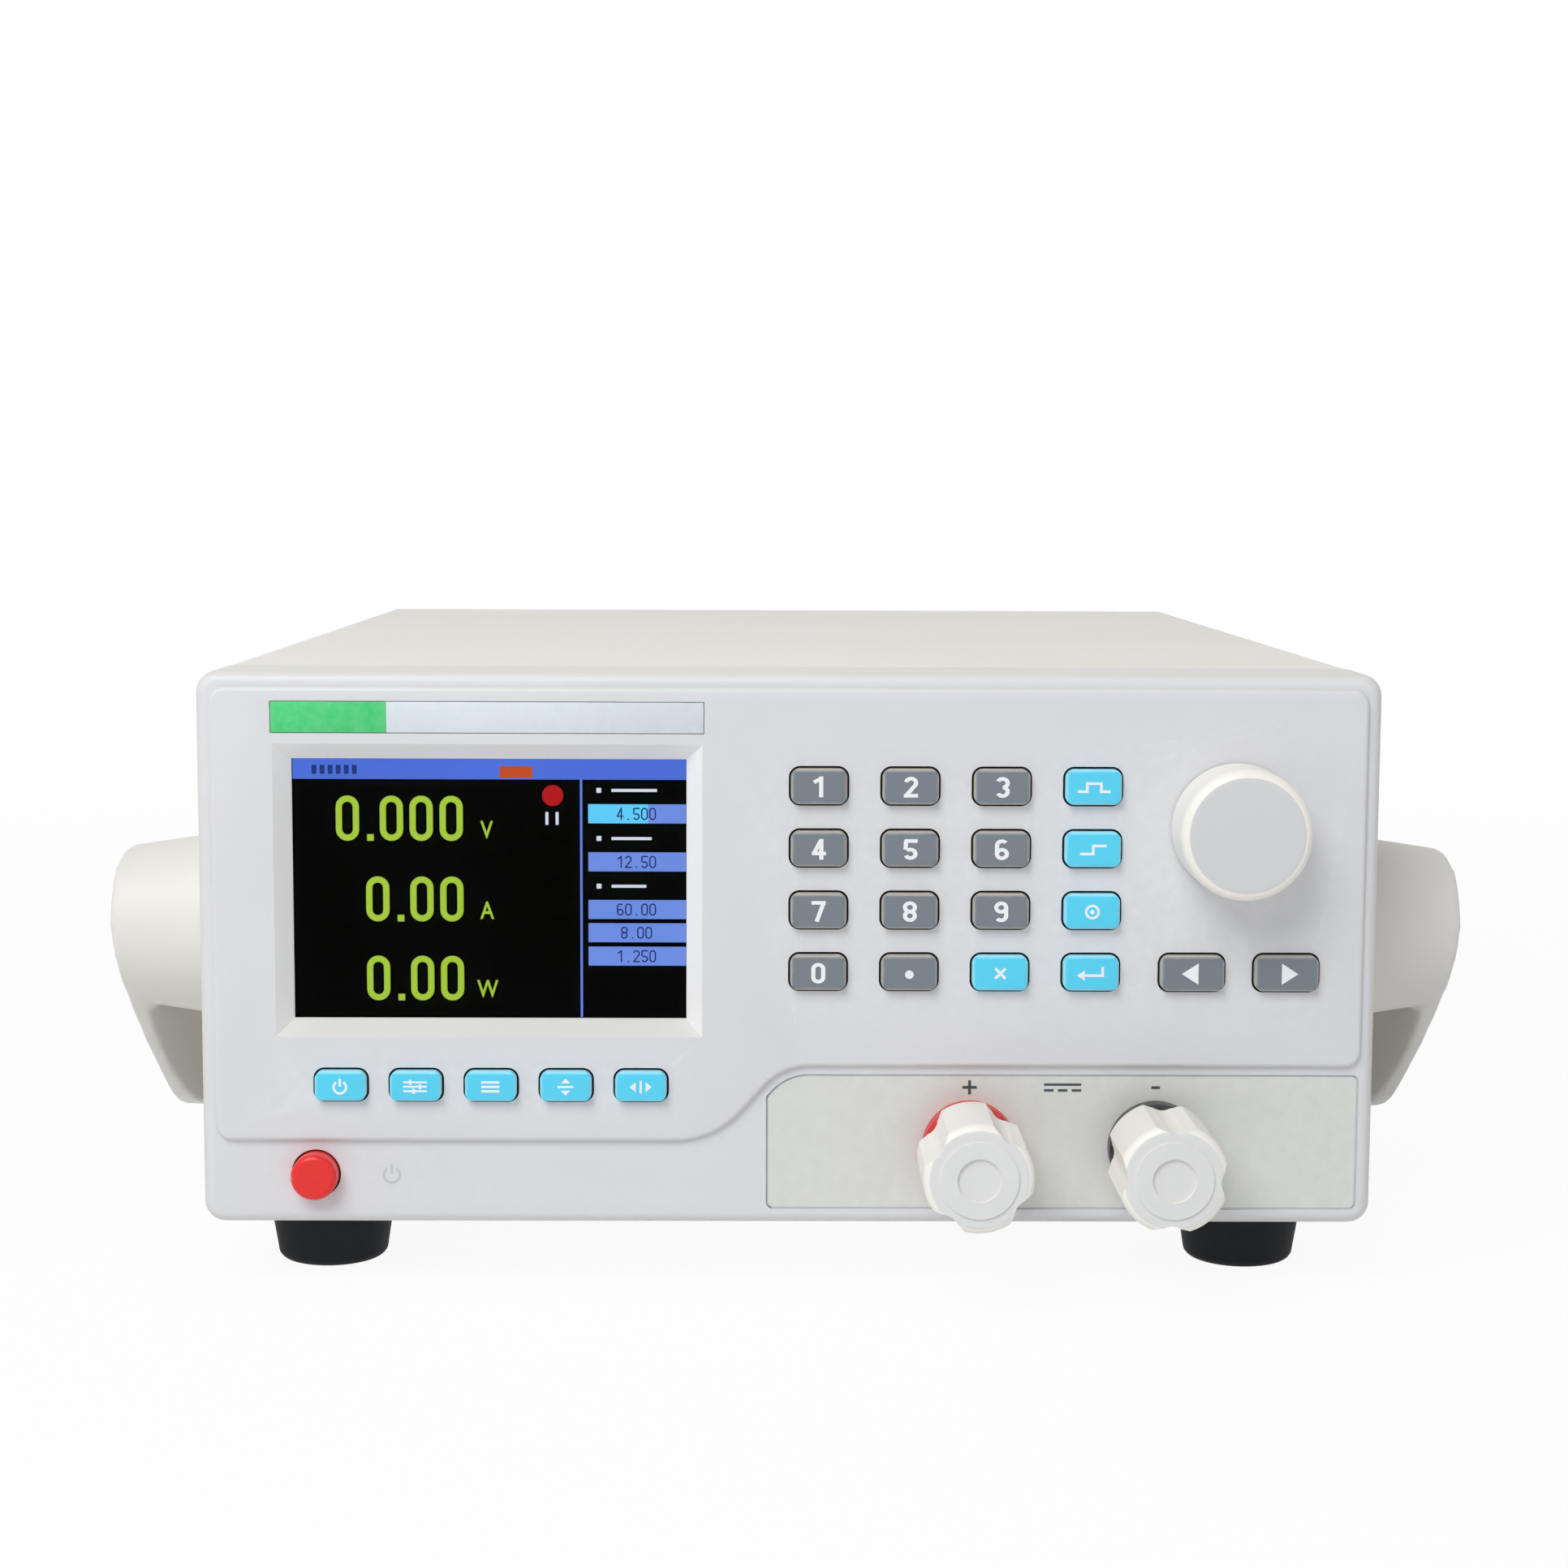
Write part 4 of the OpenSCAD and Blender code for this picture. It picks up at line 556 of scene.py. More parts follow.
def figure(sign, height, share, depth):
    """A digit or a point in x and y round the origin; share is its stroke as a share of its height."""
    top = 0.5 - share / 2
    bend, edge = top / 2, top / 2 + share / 2
    bars = {
        "0": [(-bend, -bend, -bend, bend), (bend, -bend, bend, bend)],
        "1": [(0.08, -0.5, 0.08, 0.5), (-0.22, 0.22, 0.08, 0.5 - share * 0.55)],
        "2": [(-edge, -top, edge, -top), (-bend, -top, bend * 0.85, bend * 0.45)],
        "4": [(0.1, -0.5, 0.1, 0.5), (-edge, -0.2, edge, -0.2), (-edge + share / 2, -0.2, 0.08, 0.44)],
        "5": [(-bend - share / 4, top, edge, top), (-bend + 0.02, top, -bend, 0.0)],
        "6": [(-bend, -bend, -bend, bend)],
        "7": [(-edge, top, edge, top), (edge - share / 2, top, -0.08, -0.5)],
        "9": [(bend, bend, bend, -bend)],
        ".": [(-share * 0.55, -0.5 + share * 0.55, share * 0.55, -0.5 + share * 0.55)],
    }
    bends = {
        "0": [(bend, 0, 180), (-bend, 180, 180)],
        "2": [(bend, -35, 205)],
        "3": [(bend, -90, 245), (-bend, -155, 245)],
        "5": [(-bend, -155, 290)],
        "6": [(-bend, 0, 360), (bend, 40, 140)],
        "8": [(bend, 0, 360), (-bend, 0, 360)],
        "9": [(bend, 0, 360), (-bend, 220, 140)],
    }
    wide = share * (1.1 if sign == "." else 1.0) * height
    parts = [stroke((x * height, y * height), (u * height, v * height), wide, depth)
             for x, y, u, v in bars.get(sign, [])]
    for rise, start, sweep in bends.get(sign, []):
        parts.append(arc(bend * height, share * height, depth, (0, rise * height, 0), math.radians(start),
                         math.radians(sweep), 24))
    return parts


def number(signs, height, share, depth, x, y):
    """The parts of a row of digits of equal width round a place in x and y."""
    pitch, parts = height * 0.66, []
    for place, sign in enumerate(signs):
        digit = joined("digit", figure(sign, height, share, depth))
        parts.append(moved(digit, x + (place - (len(signs) - 1) / 2) * pitch, y))
    return parts


def moved(piece, x, y):
    """Shifts a flat mark in its own plane."""
    work_on(piece)
    piece.location = (x, y, 0)
    keep_place()
    return piece


def joined(name, parts):
    """Several flat meshes made one piece; steps of a few hundredths keep crossing parts out of one plane."""
    bpy.ops.object.select_all(action="DESELECT")
    for place, part in enumerate(parts):
        part.location.z += place % 4 * 0.01 * MM
        part.select_set(True)
    bpy.context.view_layer.objects.active = parts[0]
    if len(parts) > 1:
        bpy.ops.object.join()
    parts[0].name = name
    parts[0].data.name = name
    return parts[0]


def faced(piece, x, y, z, turn=(math.pi / 2, 0, 0)):
    """Stands a mark that lies in x and y upright at a place, looking to the front unless turned otherwise."""
    work_on(piece)
    piece.rotation_euler = turn
    piece.location = (x, y, z)
    keep_place()
    return piece


def copied(piece):
    """Another piece with its own copy of a mesh."""
    twin = piece.copy()
    twin.data = piece.data.copy()
    bpy.context.scene.collection.objects.link(twin)
    return twin


def eased(value, low, high):
    """A share from 0 at low to 1 at high, with soft ends."""
    share = min(max((value - low) / (high - low), 0), 1)
    return share * share * (3 - 2 * share)


def middle(node):
    """The middle of a node's front face."""
    low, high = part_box(node)
    return (low.x + high.x) / 2, low.y, (low.z + high.z) / 2


# Operators

class LOAD_OT_front(bpy.types.Operator):
    """Dress the front shell, the terminal plate and the bare name strip"""
    bl_idname = "load.front"
    bl_label = "Front"

    def groove(self, gap, sink):
        """Painted light in the groove round the terminal plate: a pale piece of the plate's form, wider and a little
        lower, that fills the gap where its shade would show.
        """
        low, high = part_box("terminal_plate")
        piece = bpy.data.objects.new("plate_groove", NODES["terminal_plate"].data.copy())
        bpy.context.scene.collection.objects.link(piece)
        edit(piece)
        bpy.ops.mesh.remove_doubles(threshold=0.002 * MM)
        centre = (low + high) / 2
        span = high - low
        bpy.ops.transform.resize(value=(1 + 2 * gap / span.x, 0.8, 1 + 2 * gap / span.z), center_override=centre)
        bpy.ops.transform.translate(value=(0, sink, 0))
        leave_edit()
        soften(piece, 0)
        settle(piece, CASE, "bezel_plastic", moulded("Groove bottom", colours().groove, 0.5, depth=0.004))

    def execute(self, context):
        size, shade = sizes(), colours()
        shell = dressed("front_bezel", 0.0, corner=30)
        # Painted highlight: the left, right and downward-facing bevels round the display take a lighter colour than the
        # shell; the bevel that faces up keeps the shell's colour.
        shell.data.materials.append(moulded("Display frame plastic", shade.frame, 0.4, depth=0.006, tone=0.02))
        for polygon in shell.data.polygons:
            x, y, z = polygon.center / MM - Vector((DISPLAY_X, 0, DISPLAY_Z))
            if abs(x) < 44 and abs(z) < 31 and -0.95 < polygon.normal.y < -0.2 and polygon.normal.z < 0.3:
                polygon.material_index = 1
        dressed("terminal_plate", 0.0)
        self.groove(0.4 * MM, 0.08 * MM)
        x, z, floor, thick = DISPLAY_X * MM, STRIP_Z * MM, STRIP_Y * MM, 0.55 * MM
        left = x - size.strip_width / 2
        parts = [("name_strip_left", left, left + size.strip_green, shade.strip_green),
                 ("name_strip_right", left + size.strip_green, x + size.strip_width / 2, shade.strip_silver)]
        for name, start, end, tint in parts:
            strip = slab((end - start, size.strip_height, thick), (0, 0, 0))
            strip.name = name
            soften(strip, 0.12 * MM, 2)
            faced(strip, (start + end) / 2, floor - thick / 2, z)
            settle(strip, CASE, "plate_print", moulded(name.replace("_", " "), tint, 0.38, grain=0.5, depth=0.004))
        return {"FINISHED"}


class LOAD_OT_display(bpy.types.Operator):
    """Draw the lit picture behind its clear window"""
    bl_idname = "load.display"
    bl_label = "Display"

    def lay(self, name, part, x, z, tint):
        """Puts a lit mark on the picture; x and z run from its lower left corner in millimetres."""
        low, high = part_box("display_module")
        left, foot = (DISPLAY_X - PICTURE_WIDTH / 2) * MM, (DISPLAY_Z - PICTURE_HEIGHT / 2) * MM
        piece = joined(name, [part] if not isinstance(part, list) else part)
        faced(piece, left + x * MM, low.y - 0.06 * MM, foot + z * MM)
        settle(piece, CASE, "display_black", glowing("Lit " + name, tint))

    def zero(self, x, z):
        """A large nought: a rounded outline with an open middle."""
        size = sizes()
        width, height, stroke, depth = size.readout_width, size.readout_height, size.readout_stroke, 0.06 * MM
        turn = width / 2 - stroke / 2
        rise = height / 2 - width / 2
        parts = [arc(turn, stroke, depth, (x, z + rise, 0), 0, math.pi, 24),
                 arc(turn, stroke, depth, (x, z - rise, 0), math.pi, math.pi, 24)]
        for side in (-1, 1):
            parts.append(slab((stroke, rise * 2, depth), (x + side * turn, z, 0)))
        return parts

    def execute(self, context):
        shade, thin = colours(), 0.06 * MM
        plain("display_lens")
        plain("display_module")
        self.lay("title_bar", slab((PICTURE_WIDTH * MM, 4.0 * MM, thin), (0, 0, 0)), 36.7, 46.9, shade.title_bar)
        self.lay("title_tag", slab((6.1 * MM, 2.2 * MM, thin * 1.5), (0, 0, 0)), 41.6, 46.3, shade.tag)
        self.lay("divider", slab((0.45 * MM, 44.9 * MM, thin), (0, 0, 0)), 53.7, 22.45, (0.39, 0.51, 0.88))
        readout = []
        rows = (((10.1, 18.3, 23.85, 29.45), 33.3), ((15.6, 23.85, 29.45), 18.1), ((15.6, 23.85, 29.45), 3.1))
        for places, foot in rows:
            for x in places:
                readout += self.zero(x * MM, (foot + 4.25) * MM)
            readout.append(slab((1.25 * MM, 1.25 * MM, thin), ((places[1] - 3.95) * MM, (foot + 0.62) * MM, 0)))
        for unit, foot in (("V", 33.8), ("A", 18.6), ("W", 3.7)):
            readout.append(moved(words(unit, 3.3 * MM, thin, 0.012, 0.8), 36.05 * MM, (foot + 1.65) * MM))
        self.lay("readout", readout, 0, 0, shade.readout)
        self.lay("state_dot", disc(1.97 * MM, thin, (0, 0, 0)), 48.4, 41.9, shade.lamp_dot)
        fields = ((38.5, "4.500"), (29.45, "12.50"), (20.45, "60.00"), (16.05, "8.00"), (11.6, "1.250"))
        numbers, marks, tall = [], [], 3.6
        for row, (z, reading) in enumerate(fields):
            tint = shade.field_lit if row == 0 else shade.field
            wide = 11.2 if row == 0 else 18.3
            self.lay(f"field_{row + 1}", slab((wide * MM, tall * MM, thin), (0, 0, 0)), 55.0 + wide / 2, z, tint)
            if row == 0:
                self.lay("field_1_rest", slab((7.1 * MM, tall * MM, thin), (0, 0, 0)), 69.75, z, shade.field)
            numbers += number(reading, 2.3 * MM, 0.11, thin * 1.4, 64.0 * MM, z * MM)
            if row < 3:
                marks.append(slab((0.9 * MM, 0.9 * MM, thin), (57.0 * MM, (z + 4.4) * MM, 0)))
                marks.append(slab(((8.5 - row) * MM, 0.55 * MM, thin), ((63.6 - row / 2) * MM, (z + 4.4) * MM, 0)))
        self.lay("field_numbers", numbers, 0, 0, (0.1, 0.16, 0.42))
        for x in (47.3, 49.2):
            marks.append(slab((0.55 * MM, 2.4 * MM, thin), (x * MM, 37.6 * MM, 0)))
        self.lay("field_marks", marks, 0, 0, (0.85, 0.88, 0.95))
        tabs = [slab((0.9 * MM, 1.7 * MM, thin * 1.5), ((4.0 + step * 1.5) * MM, 46.7 * MM, 0)) for step in range(6)]
        self.lay("title_tabs", tabs, 0, 0, (0.12, 0.2, 0.48))
        return {"FINISHED"}


class LOAD_OT_keys(bpy.types.Operator):
    """Dress every key and print its digit, arrow or pictogram"""
    bl_idname = "load.keys"
    bl_label = "Keys"

    def pictogram(self, key, deep):
        """The flat parts of a key's mark, in millimetres round the key's middle."""
        strokes = {
            "key_function_1": [(-2.3, -0.75, 1.5, 0.5), (-1.3, 0, 0.5, 2.0), (0, 0.75, 2.1, 0.5), (1.3, 0, 0.5, 2.0),
                               (2.3, -0.75, 1.5, 0.5)],
            "key_function_2": [(-1.35, -0.75, 2.2, 0.5), (0, 0, 0.5, 2.0), (1.35, 0.75, 2.2, 0.5)],
            "key_function_5": [(0.5, -0.35, 3.2, 0.5), (2.1, 0.35, 0.5, 1.9)],
            "soft_key_2": [(0, 0.85, 4.4, 0.36), (0, 0, 4.4, 0.36), (0, -0.85, 4.4, 0.36), (-0.9, 0.85, 0.5, 0.95),
                           (0.9, 0, 0.5, 0.95), (-0.3, -0.85, 0.5, 0.95)],
            "soft_key_3": [(0, 0.85, 3.4, 0.45), (0, 0, 3.4, 0.45), (0, -0.85, 3.4, 0.45)],
            "soft_key_4": [(0, 0, 3.0, 0.4)],
            "soft_key_5": [(0, 0, 0.4, 2.4)],
            "soft_key_1": [(0, 0.75, 0.45, 1.5)],
        }
        wedges = {
            "key_left": [(0, 0, 3.1, 4.0, math.pi)],
            "key_right": [(0, 0, 3.1, 4.0, 0)],
            "key_function_5": [(-1.7, -0.35, 1.5, 1.9, math.pi)],
            "soft_key_4": [(0, 1.0, 0.9, 1.8, math.pi / 2), (0, -1.0, 0.9, 1.8, -math.pi / 2)],
            "soft_key_5": [(1.3, 0, 1.1, 1.9, 0), (-1.3, 0, 1.1, 1.9, math.pi)],
        }
        parts = [slab((w * MM, h * MM, deep), (x * MM, y * MM, 0)) for x, y, w, h in strokes.get(key, [])]
        parts += [wedge(w * MM, h * MM, deep, (x * MM, y * MM, 0), turn) for x, y, w, h, turn in wedges.get(key, [])]
        if key == "key_point":
            parts.append(disc(0.8 * MM, deep, (0, -0.25 * MM, 0)))
        if key == "key_function_3":
            parts += [arc(1.15 * MM, 0.45 * MM, deep, (0, 0, 0), 0, 2 * math.pi), disc(0.42 * MM, deep, (0, 0, 0))]
        if key == "key_function_4":
            parts += [slab((2.7 * MM, 0.5 * MM, deep), (0, 0, 0), turn=turn) for turn in (math.pi / 4, -math.pi / 4)]
        if key == "soft_key_1":
            parts.append(arc(1.15 * MM, 0.42 * MM, deep, (0, -0.15 * MM, 0), math.radians(125), math.radians(290)))
        return parts

    def paint_key_gap_shade(self):
        """Painted shadow: a black ring sunk in the gap round every key, where the gap would lie in shade, made once for
        each size of key and copied.
        """
        painted_gap_shade = moulded("Key gap black", (0.02, 0.021, 0.023), 0.7, grain=0.2, depth=0.004, rub=0.0, sheen=0.2)
        flange, gap, sunk = 2.4 * MM, 0.4 * MM, 0.12 * MM
        for group in (DIGIT_KEYS + FUNCTION_KEYS + ["key_point"], ARROW_KEYS, SOFT_KEYS):
            low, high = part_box(group[0])
            outer = [high[axis] - low[axis] - flange + 2.4 * gap for axis in (0, 2)]
            line = surround(*outer, 2.2 * MM, 1.1 * gap, 0.5 * MM)
            for key in group:
                x, y, z = middle(key)
                piece = faced(copied(line), x, PANEL_Y * MM + sunk, z)
                piece.name = piece.data.name = key + "_surround"
                settle(piece, CASE, "mat_rubber", painted_gap_shade)
            bpy.data.objects.remove(line)

    def execute(self, context):
        size = sizes()
        deep, widen = size.print_depth * 2, 1.16
        printed = moulded("Key legend print", colours().legend, 0.45, grain=0.2, depth=0.002, tone=0.02, rub=0.0)
        # Painted shadow in the gaps round the keys.
        self.paint_key_gap_shade()
        for key in DIGIT_KEYS + FUNCTION_KEYS + SOFT_KEYS + ARROW_KEYS + ["key_point"]:
            dressed(key, 0.0)
            if key in DIGIT_KEYS:
                parts = figure(key[-1], size.digit, 0.175, deep)
            else:
                parts = self.pictogram(key, deep)
            legend = joined(key + "_legend", parts)
            if key in DIGIT_KEYS:
                work_on(legend)
                legend.scale = (widen, 1, 1)
                keep_place()
            x, y, z = middle(key)
            faced(legend, x, y, z)
            settle(legend, BODY_OF[key], "plate_print", printed)
        return {"FINISHED"}


class LOAD_OT_controls(bpy.types.Operator):
    """Dress the knob, the power button and the binding posts"""
    bl_idname = "load.controls"
    bl_label = "Knob, button and posts"

    def execute(self, context):
        for node in ("power_button", "post_base_positive", "post_base_negative", "clamp_ring_positive",
                     "clamp_ring_negative"):
            dressed(node, 0.0)
        shade = colours()
        # Painted shade: the flat fronts of the knob and the caps get a darker grey than their sides.
        cap = ("Cap face plastic", shade.cap_front_painted_shade)
        knob = ("Knob face plastic", shade.knob_front_painted_shade)
        faces = {"encoder_knob": knob, "post_cap_positive": cap, "post_cap_negative": cap}
        for node, (name, tint) in faces.items():
            piece = dressed(node, 0.0)
            piece.data.materials.append(moulded(name, tint, 0.45, grain=0.35, depth=0.006, tone=0.025))
            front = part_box(node)[0].y + 1.2 * MM
            for polygon in piece.data.polygons:
                if polygon.normal.y < -0.95 and polygon.center.y < front:
                    polygon.material_index = 1
        return {"FINISHED"}


class LOAD_OT_marks(bpy.types.Operator):
    """Print the polarity signs, the direct-current sign and the power sign on the front"""
    bl_idname = "load.marks"
    bl_label = "Front marks"

    def execute(self, context):
        shade = colours()
        deep = sizes().print_depth * 2
        ink = moulded("Front mark print", shade.mark, 0.5, grain=0.2, depth=0.002, tone=0.05, rub=0.0)
        plate_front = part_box("terminal_plate")[0].y
        plus = [slab((2.7 * MM, 0.53 * MM, deep), (0, 0, 0)), slab((0.53 * MM, 2.7 * MM, deep), (0, 0, 0))]
        minus = [slab((1.65 * MM, 0.53 * MM, deep), (0, 0, 0))]
        direct = [slab((7.0 * MM, 0.45 * MM, deep), (0, 0.55 * MM, 0))]
        direct += [slab((1.8 * MM, 0.45 * MM, deep), (step * 2.6 * MM, -0.55 * MM, 0)) for step in (-1, 0, 1)]
        for name, parts, x in (("mark_plus", plus, 34.0), ("mark_minus", minus, 69.0), ("mark_direct", direct, 51.5)):
            mark = faced(joined(name, parts), x * MM, plate_front, 39.2 * MM)
            settle(mark, CASE, "plate_print", ink)
        pale = moulded("Power mark print", shade.power_mark, 0.5, grain=0.2, depth=0.002, tone=0.02, rub=0.0)
        power = [arc(1.5 * MM, 0.42 * MM, deep, (0, -0.2 * MM, 0), math.radians(125), math.radians(290)),
                 slab((0.42 * MM, 1.8 * MM, deep), (0, 1.0 * MM, 0))]
        mark = faced(joined("mark_power", power), -74.5 * MM, BORDER_Y * MM, 22.5 * MM)
        settle(mark, CASE, "bezel_plastic", pale)
        return {"FINISHED"}


class LOAD_OT_case(bpy.types.Operator):
    """Dress the cover, the tray, the rear panel, the feet, the screws and the handle"""
    bl_idname = "load.case"
    bl_label = "Case and handle"

    def arm(self, node):
        """A handle arm as one soft moulding, with its lower edge drawn up a little behind the hub."""
        piece = dressed(node, 0.0)
        work_on(piece)
        skin = piece.modifiers.new("Skin", "REMESH")
        skin.mode = "VOXEL"
        skin.voxel_size = sizes().arm_grain
        bpy.ops.object.modifier_apply(modifier=skin.name)
        rounding = piece.modifiers.new("Soft edges", "SMOOTH")
        rounding.factor = 0.5
        rounding.iterations = 5
        bpy.ops.object.modifier_apply(modifier=rounding.name)
        pivot = Vector((0, PIVOT_Y, PIVOT_Z)) * MM
        along, across = Vector((0, 0.8555, -0.5178)), Vector((0, 0.5178, 0.8555))
        for vertex in piece.data.vertices:
            reach = (vertex.co - pivot).dot(along) / MM
            below = eased(-(vertex.co - pivot).dot(across) / MM, 0, 20)
            lift = eased(reach, 40, 72) * (1 - eased(reach, 80, 105))
            vertex.co += across * (below * lift * sizes().arm_lift)
        bpy.ops.object.shade_smooth()

    def slots(self):
        """Painted shadow in the cross slot of every screw head that shows: a thin dark cross laid on the head, made
        once and copied.
        """
        back, down, quarter = (-math.pi / 2, 0, 0), (math.pi, 0, 0), math.pi / 2
        places = [(x, 150.8, z, back) for x in (-102.3, 102.3) for z in (28.2, 107.3)]
        places += [(x, 152.8, z, back) for x in (6.25, 77.75) for z in (29.0, 100.5)]
        places += [(side * 111.3, y, 22.2, (0, side * quarter, 0)) for side in (-1, 1) for y in (-101.0, 136.0)]
        places += [(x, y, 4.6, down) for x in (-89.5, 89.5) for y in (-101.0, 118.0)]
        cross = joined("screw_slot", [slab((2.6 * MM, 0.55 * MM, 0.04 * MM), (0, 0, 0), turn=turn)
                                      for turn in (math.pi / 4, -math.pi / 4)])
        slots = [faced(copied(cross), x * MM, y * MM, z * MM, turn) for x, y, z, turn in places]
        bpy.data.objects.remove(cross)
        slots = joined("screw_slots", slots)
        settle(slots, CASE, "steel_plated", moulded("Slot shade", (0.13, 0.13, 0.14), 0.6, grain=0.2, depth=0.004))

    def execute(self, context):
        for node in ("top_cover", "rear_panel", "feet", "handle_grip"):
            dressed(node, 0.0)
        for node in ("handle_arm_left", "handle_arm_right"):
            self.arm(node)
        for node in ("chassis_tray", "screws", "handle_pivots"):
            plain(node)
        self.slots()
        return {"FINISHED"}


class LOAD_OT_inside(bpy.types.Operator):
    """Give the rear fittings and the inner parts their finishes"""
    bl_idname = "load.inside"
    bl_label = "Rear and inside"

    def contacts(self, x, y, z):
        """The dark insert of the serial port with nine contacts in two rows."""
        back = (-math.pi / 2, 0, 0)
        insert = surround(14.4 * MM, 6.4 * MM, 1.5 * MM, 0, 0.06 * MM)
        insert.name = "serial_insert"
        soften(insert, 0)
        settle(faced(insert, x, y, z, back), CASE, "black_plastic")
        ring = arc(0.5 * MM, 0.28 * MM, 0.16 * MM, (0, 0, 0), 0, 2 * math.pi, 20)
        pitch, row = 2.77, 1.42
        places = [((column - 2) * pitch, row) for column in range(5)]
        places += [((column - 1.5) * pitch, -row) for column in range(4)]
        rings = [moved(copied(ring), across * MM, up * MM) for across, up in places]
        bpy.data.objects.remove(ring)
        settle(faced(joined("serial_contacts", rings), x, y, z, back), CASE, "brass_plated")

    def execute(self, context):
        for node in ("fan_frame", "fan_rotor", "fan_guard", "heatsink", "power_transistors", "main_board",
                     "mains_transformer", "serial_port", "keypad_mat", "front_board", "encoder_body", "encoder_shaft",
                     "power_switch", "post_hardware", "busbars"):
            plain(node)
        inlet = dressed("mains_inlet", 0.0)
        inlet.data.materials.append(finish_of("steel_plated"))
        for polygon in inlet.data.polygons:
            x, y, z = polygon.center / MM - Vector((SOCKET_X, 0, INLET_Z))
            blade = min(max(abs(x - across), abs(z - up) / 2) for across in (-7, 0, 7) for up in (-2, 2))
            if blade < 1.1 and 136.2 < y < 146:
                polygon.material_index = 1
        self.contacts(SOCKET_X * MM, SERIAL_Y * MM, SERIAL_Z * MM)
        return {"FINISHED"}


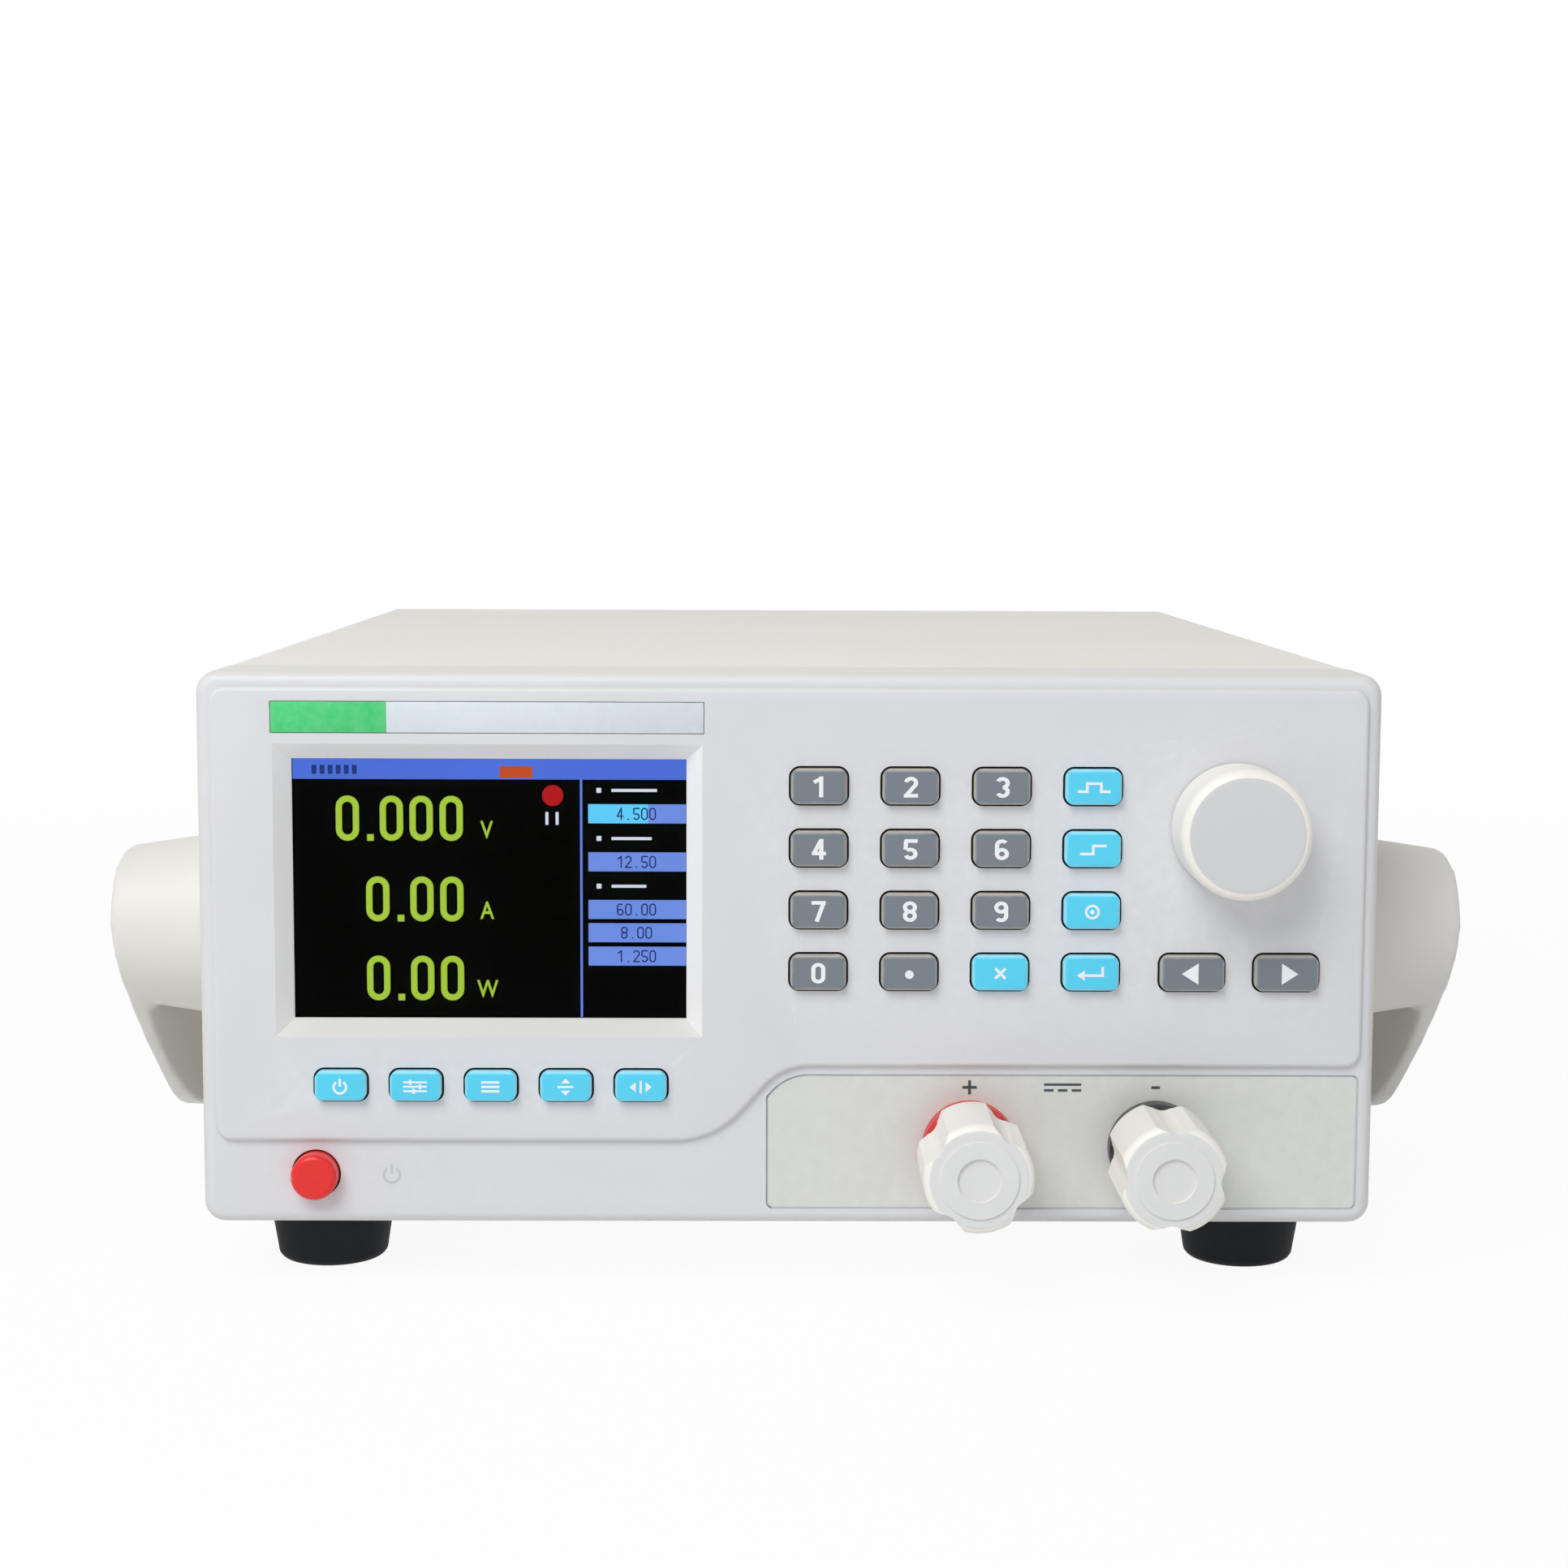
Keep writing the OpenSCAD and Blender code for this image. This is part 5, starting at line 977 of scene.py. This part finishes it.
class LOAD_OT_studio(bpy.types.Operator):
    """Set up the pale floor, the soft lights, the white surroundings and the camera"""
    bl_idname = "load.studio"
    bl_label = "Studio"

    def seen(self, tree):
        """1 for what the eye, a reflection or a clear piece looks at, and 0 for light that falls on the part."""
        rays = add(tree, "LightPath").outputs
        through = arithmetic(tree, "MAXIMUM", rays["Is Glossy Ray"], rays["Is Transmission Ray"])
        return arithmetic(tree, "MAXIMUM", rays["Is Camera Ray"], through)

    def floor(self):
        """A pale floor that keeps the shadow and meets the white surroundings."""
        bpy.ops.object.select_all(action="DESELECT")
        bpy.ops.mesh.primitive_plane_add(size=30, location=(0, 0, 0))
        ground = bpy.context.object
        ground.name = "floor"
        material, tree, shader = new_finish("Floor paper")
        shader.inputs["Base Color"].default_value = linear(colours().floor)
        shader.inputs["Roughness"].default_value = 0.9
        white = add(tree, "Emission", Strength=1.0)
        blend = tree.nodes.new("ShaderNodeMixShader")
        reach = add(tree, "VectorMath", {"operation": "LENGTH"})
        tree.links.new(add(tree, "TexCoord").outputs["Object"], reach.inputs[0])
        share = ranged(tree, reach.outputs["Value"], 0.25, 1.1, 0.93, 1.0)
        tree.links.new(arithmetic(tree, "MULTIPLY", self.seen(tree), share), blend.inputs[0])
        tree.links.new(shader.outputs[0], blend.inputs[1])
        tree.links.new(white.outputs[0], blend.inputs[2])
        tree.links.new(blend.outputs[0], tree.nodes["Material Output"].inputs["Surface"])
        ground.data.materials.append(material)

    def surroundings(self, scene):
        """White to the eye and in reflections, and an even soft light otherwise."""
        world = bpy.data.worlds.new("Studio")
        scene.world = world
        world.use_nodes = True
        tree = world.node_tree
        level = ranged(tree, self.seen(tree), 0, 1, sizes().sky, 1.0)
        backdrop = tree.nodes["Background"]
        backdrop.inputs["Color"].default_value = (1, 1, 1, 1)
        tree.links.new(level, backdrop.inputs["Strength"])

    def lamp(self, name, place, aim, width, power):
        """A large soft light that looks at a point."""
        bpy.ops.object.select_all(action="DESELECT")
        bpy.ops.object.light_add(type="AREA", location=place)
        light = bpy.context.object
        light.name = name
        light.data.shape = "DISK"
        light.data.size = width
        light.data.energy = power
        light.rotation_euler = (Vector(aim) - Vector(place)).to_track_quat("-Z", "Y").to_euler()

    def camera(self, scene):
        """The camera of the photograph: 64 mm, a little above the front."""
        pitch, yaw, roll = math.radians(6.05), math.radians(0.58), math.radians(-0.23)
        ahead = Vector((math.sin(yaw) * math.cos(pitch), math.cos(yaw) * math.cos(pitch), -math.sin(pitch)))
        right = Vector((math.cos(yaw), -math.sin(yaw), 0))
        down = ahead.cross(right)
        across = math.cos(roll) * right + math.sin(roll) * down
        below = -math.sin(roll) * right + math.cos(roll) * down
        bpy.ops.object.select_all(action="DESELECT")
        bpy.ops.object.camera_add()
        camera = bpy.context.object
        turn = Matrix((across, -below, -ahead)).transposed()
        camera.matrix_world = Matrix.Translation((-0.0063, -0.6431, 0.1511)) @ turn.to_4x4()
        camera.data.sensor_width = 36
        camera.data.lens = 64.25
        camera.data.clip_start = 0.01
        scene.camera = camera

    def execute(self, context):
        scene, size = context.scene, sizes()
        self.floor()
        self.surroundings(scene)
        self.lamp("key_light", (-0.5, -1.05, 1.15), (0, -0.1, 0.06), 1.0, size.key_light)
        self.camera(scene)
        scene.view_settings.view_transform = "Standard"
        return {"FINISHED"}


class LOAD_PT_panel(bpy.types.Panel):
    """The steps that dress the load, in order"""
    bl_idname = "LOAD_PT_panel"
    bl_label = "Bench electronic load"
    bl_space_type = "VIEW_3D"
    bl_region_type = "UI"
    bl_category = "Load"

    def draw(self, context):
        for step in OPERATORS:
            self.layout.operator(step.bl_idname)
        for group in (context.scene.load_sizes, context.scene.load_colours):
            column = self.layout.column(align=True)
            for name in group.__annotations__:
                column.prop(group, name)


OPERATORS = (LOAD_OT_front, LOAD_OT_display, LOAD_OT_keys, LOAD_OT_controls, LOAD_OT_marks, LOAD_OT_case,
             LOAD_OT_inside, LOAD_OT_studio)
CLASSES = (LoadColours, LoadSizes) + OPERATORS + (LOAD_PT_panel,)


def register():
    for item in CLASSES:
        bpy.utils.register_class(item)
    bpy.types.Scene.load_colours = bpy.props.PointerProperty(type=LoadColours)
    bpy.types.Scene.load_sizes = bpy.props.PointerProperty(type=LoadSizes)


def unregister():
    del bpy.types.Scene.load_sizes
    del bpy.types.Scene.load_colours
    for item in reversed(CLASSES):
        bpy.utils.unregister_class(item)


def main():
    """Dresses the load step by step."""
    register()
    bpy.ops.load.front()
    bpy.ops.load.display()
    bpy.ops.load.keys()
    bpy.ops.load.controls()
    bpy.ops.load.marks()
    bpy.ops.load.case()
    bpy.ops.load.inside()
    bpy.ops.load.studio()


if __name__ == "__main__":
    main()
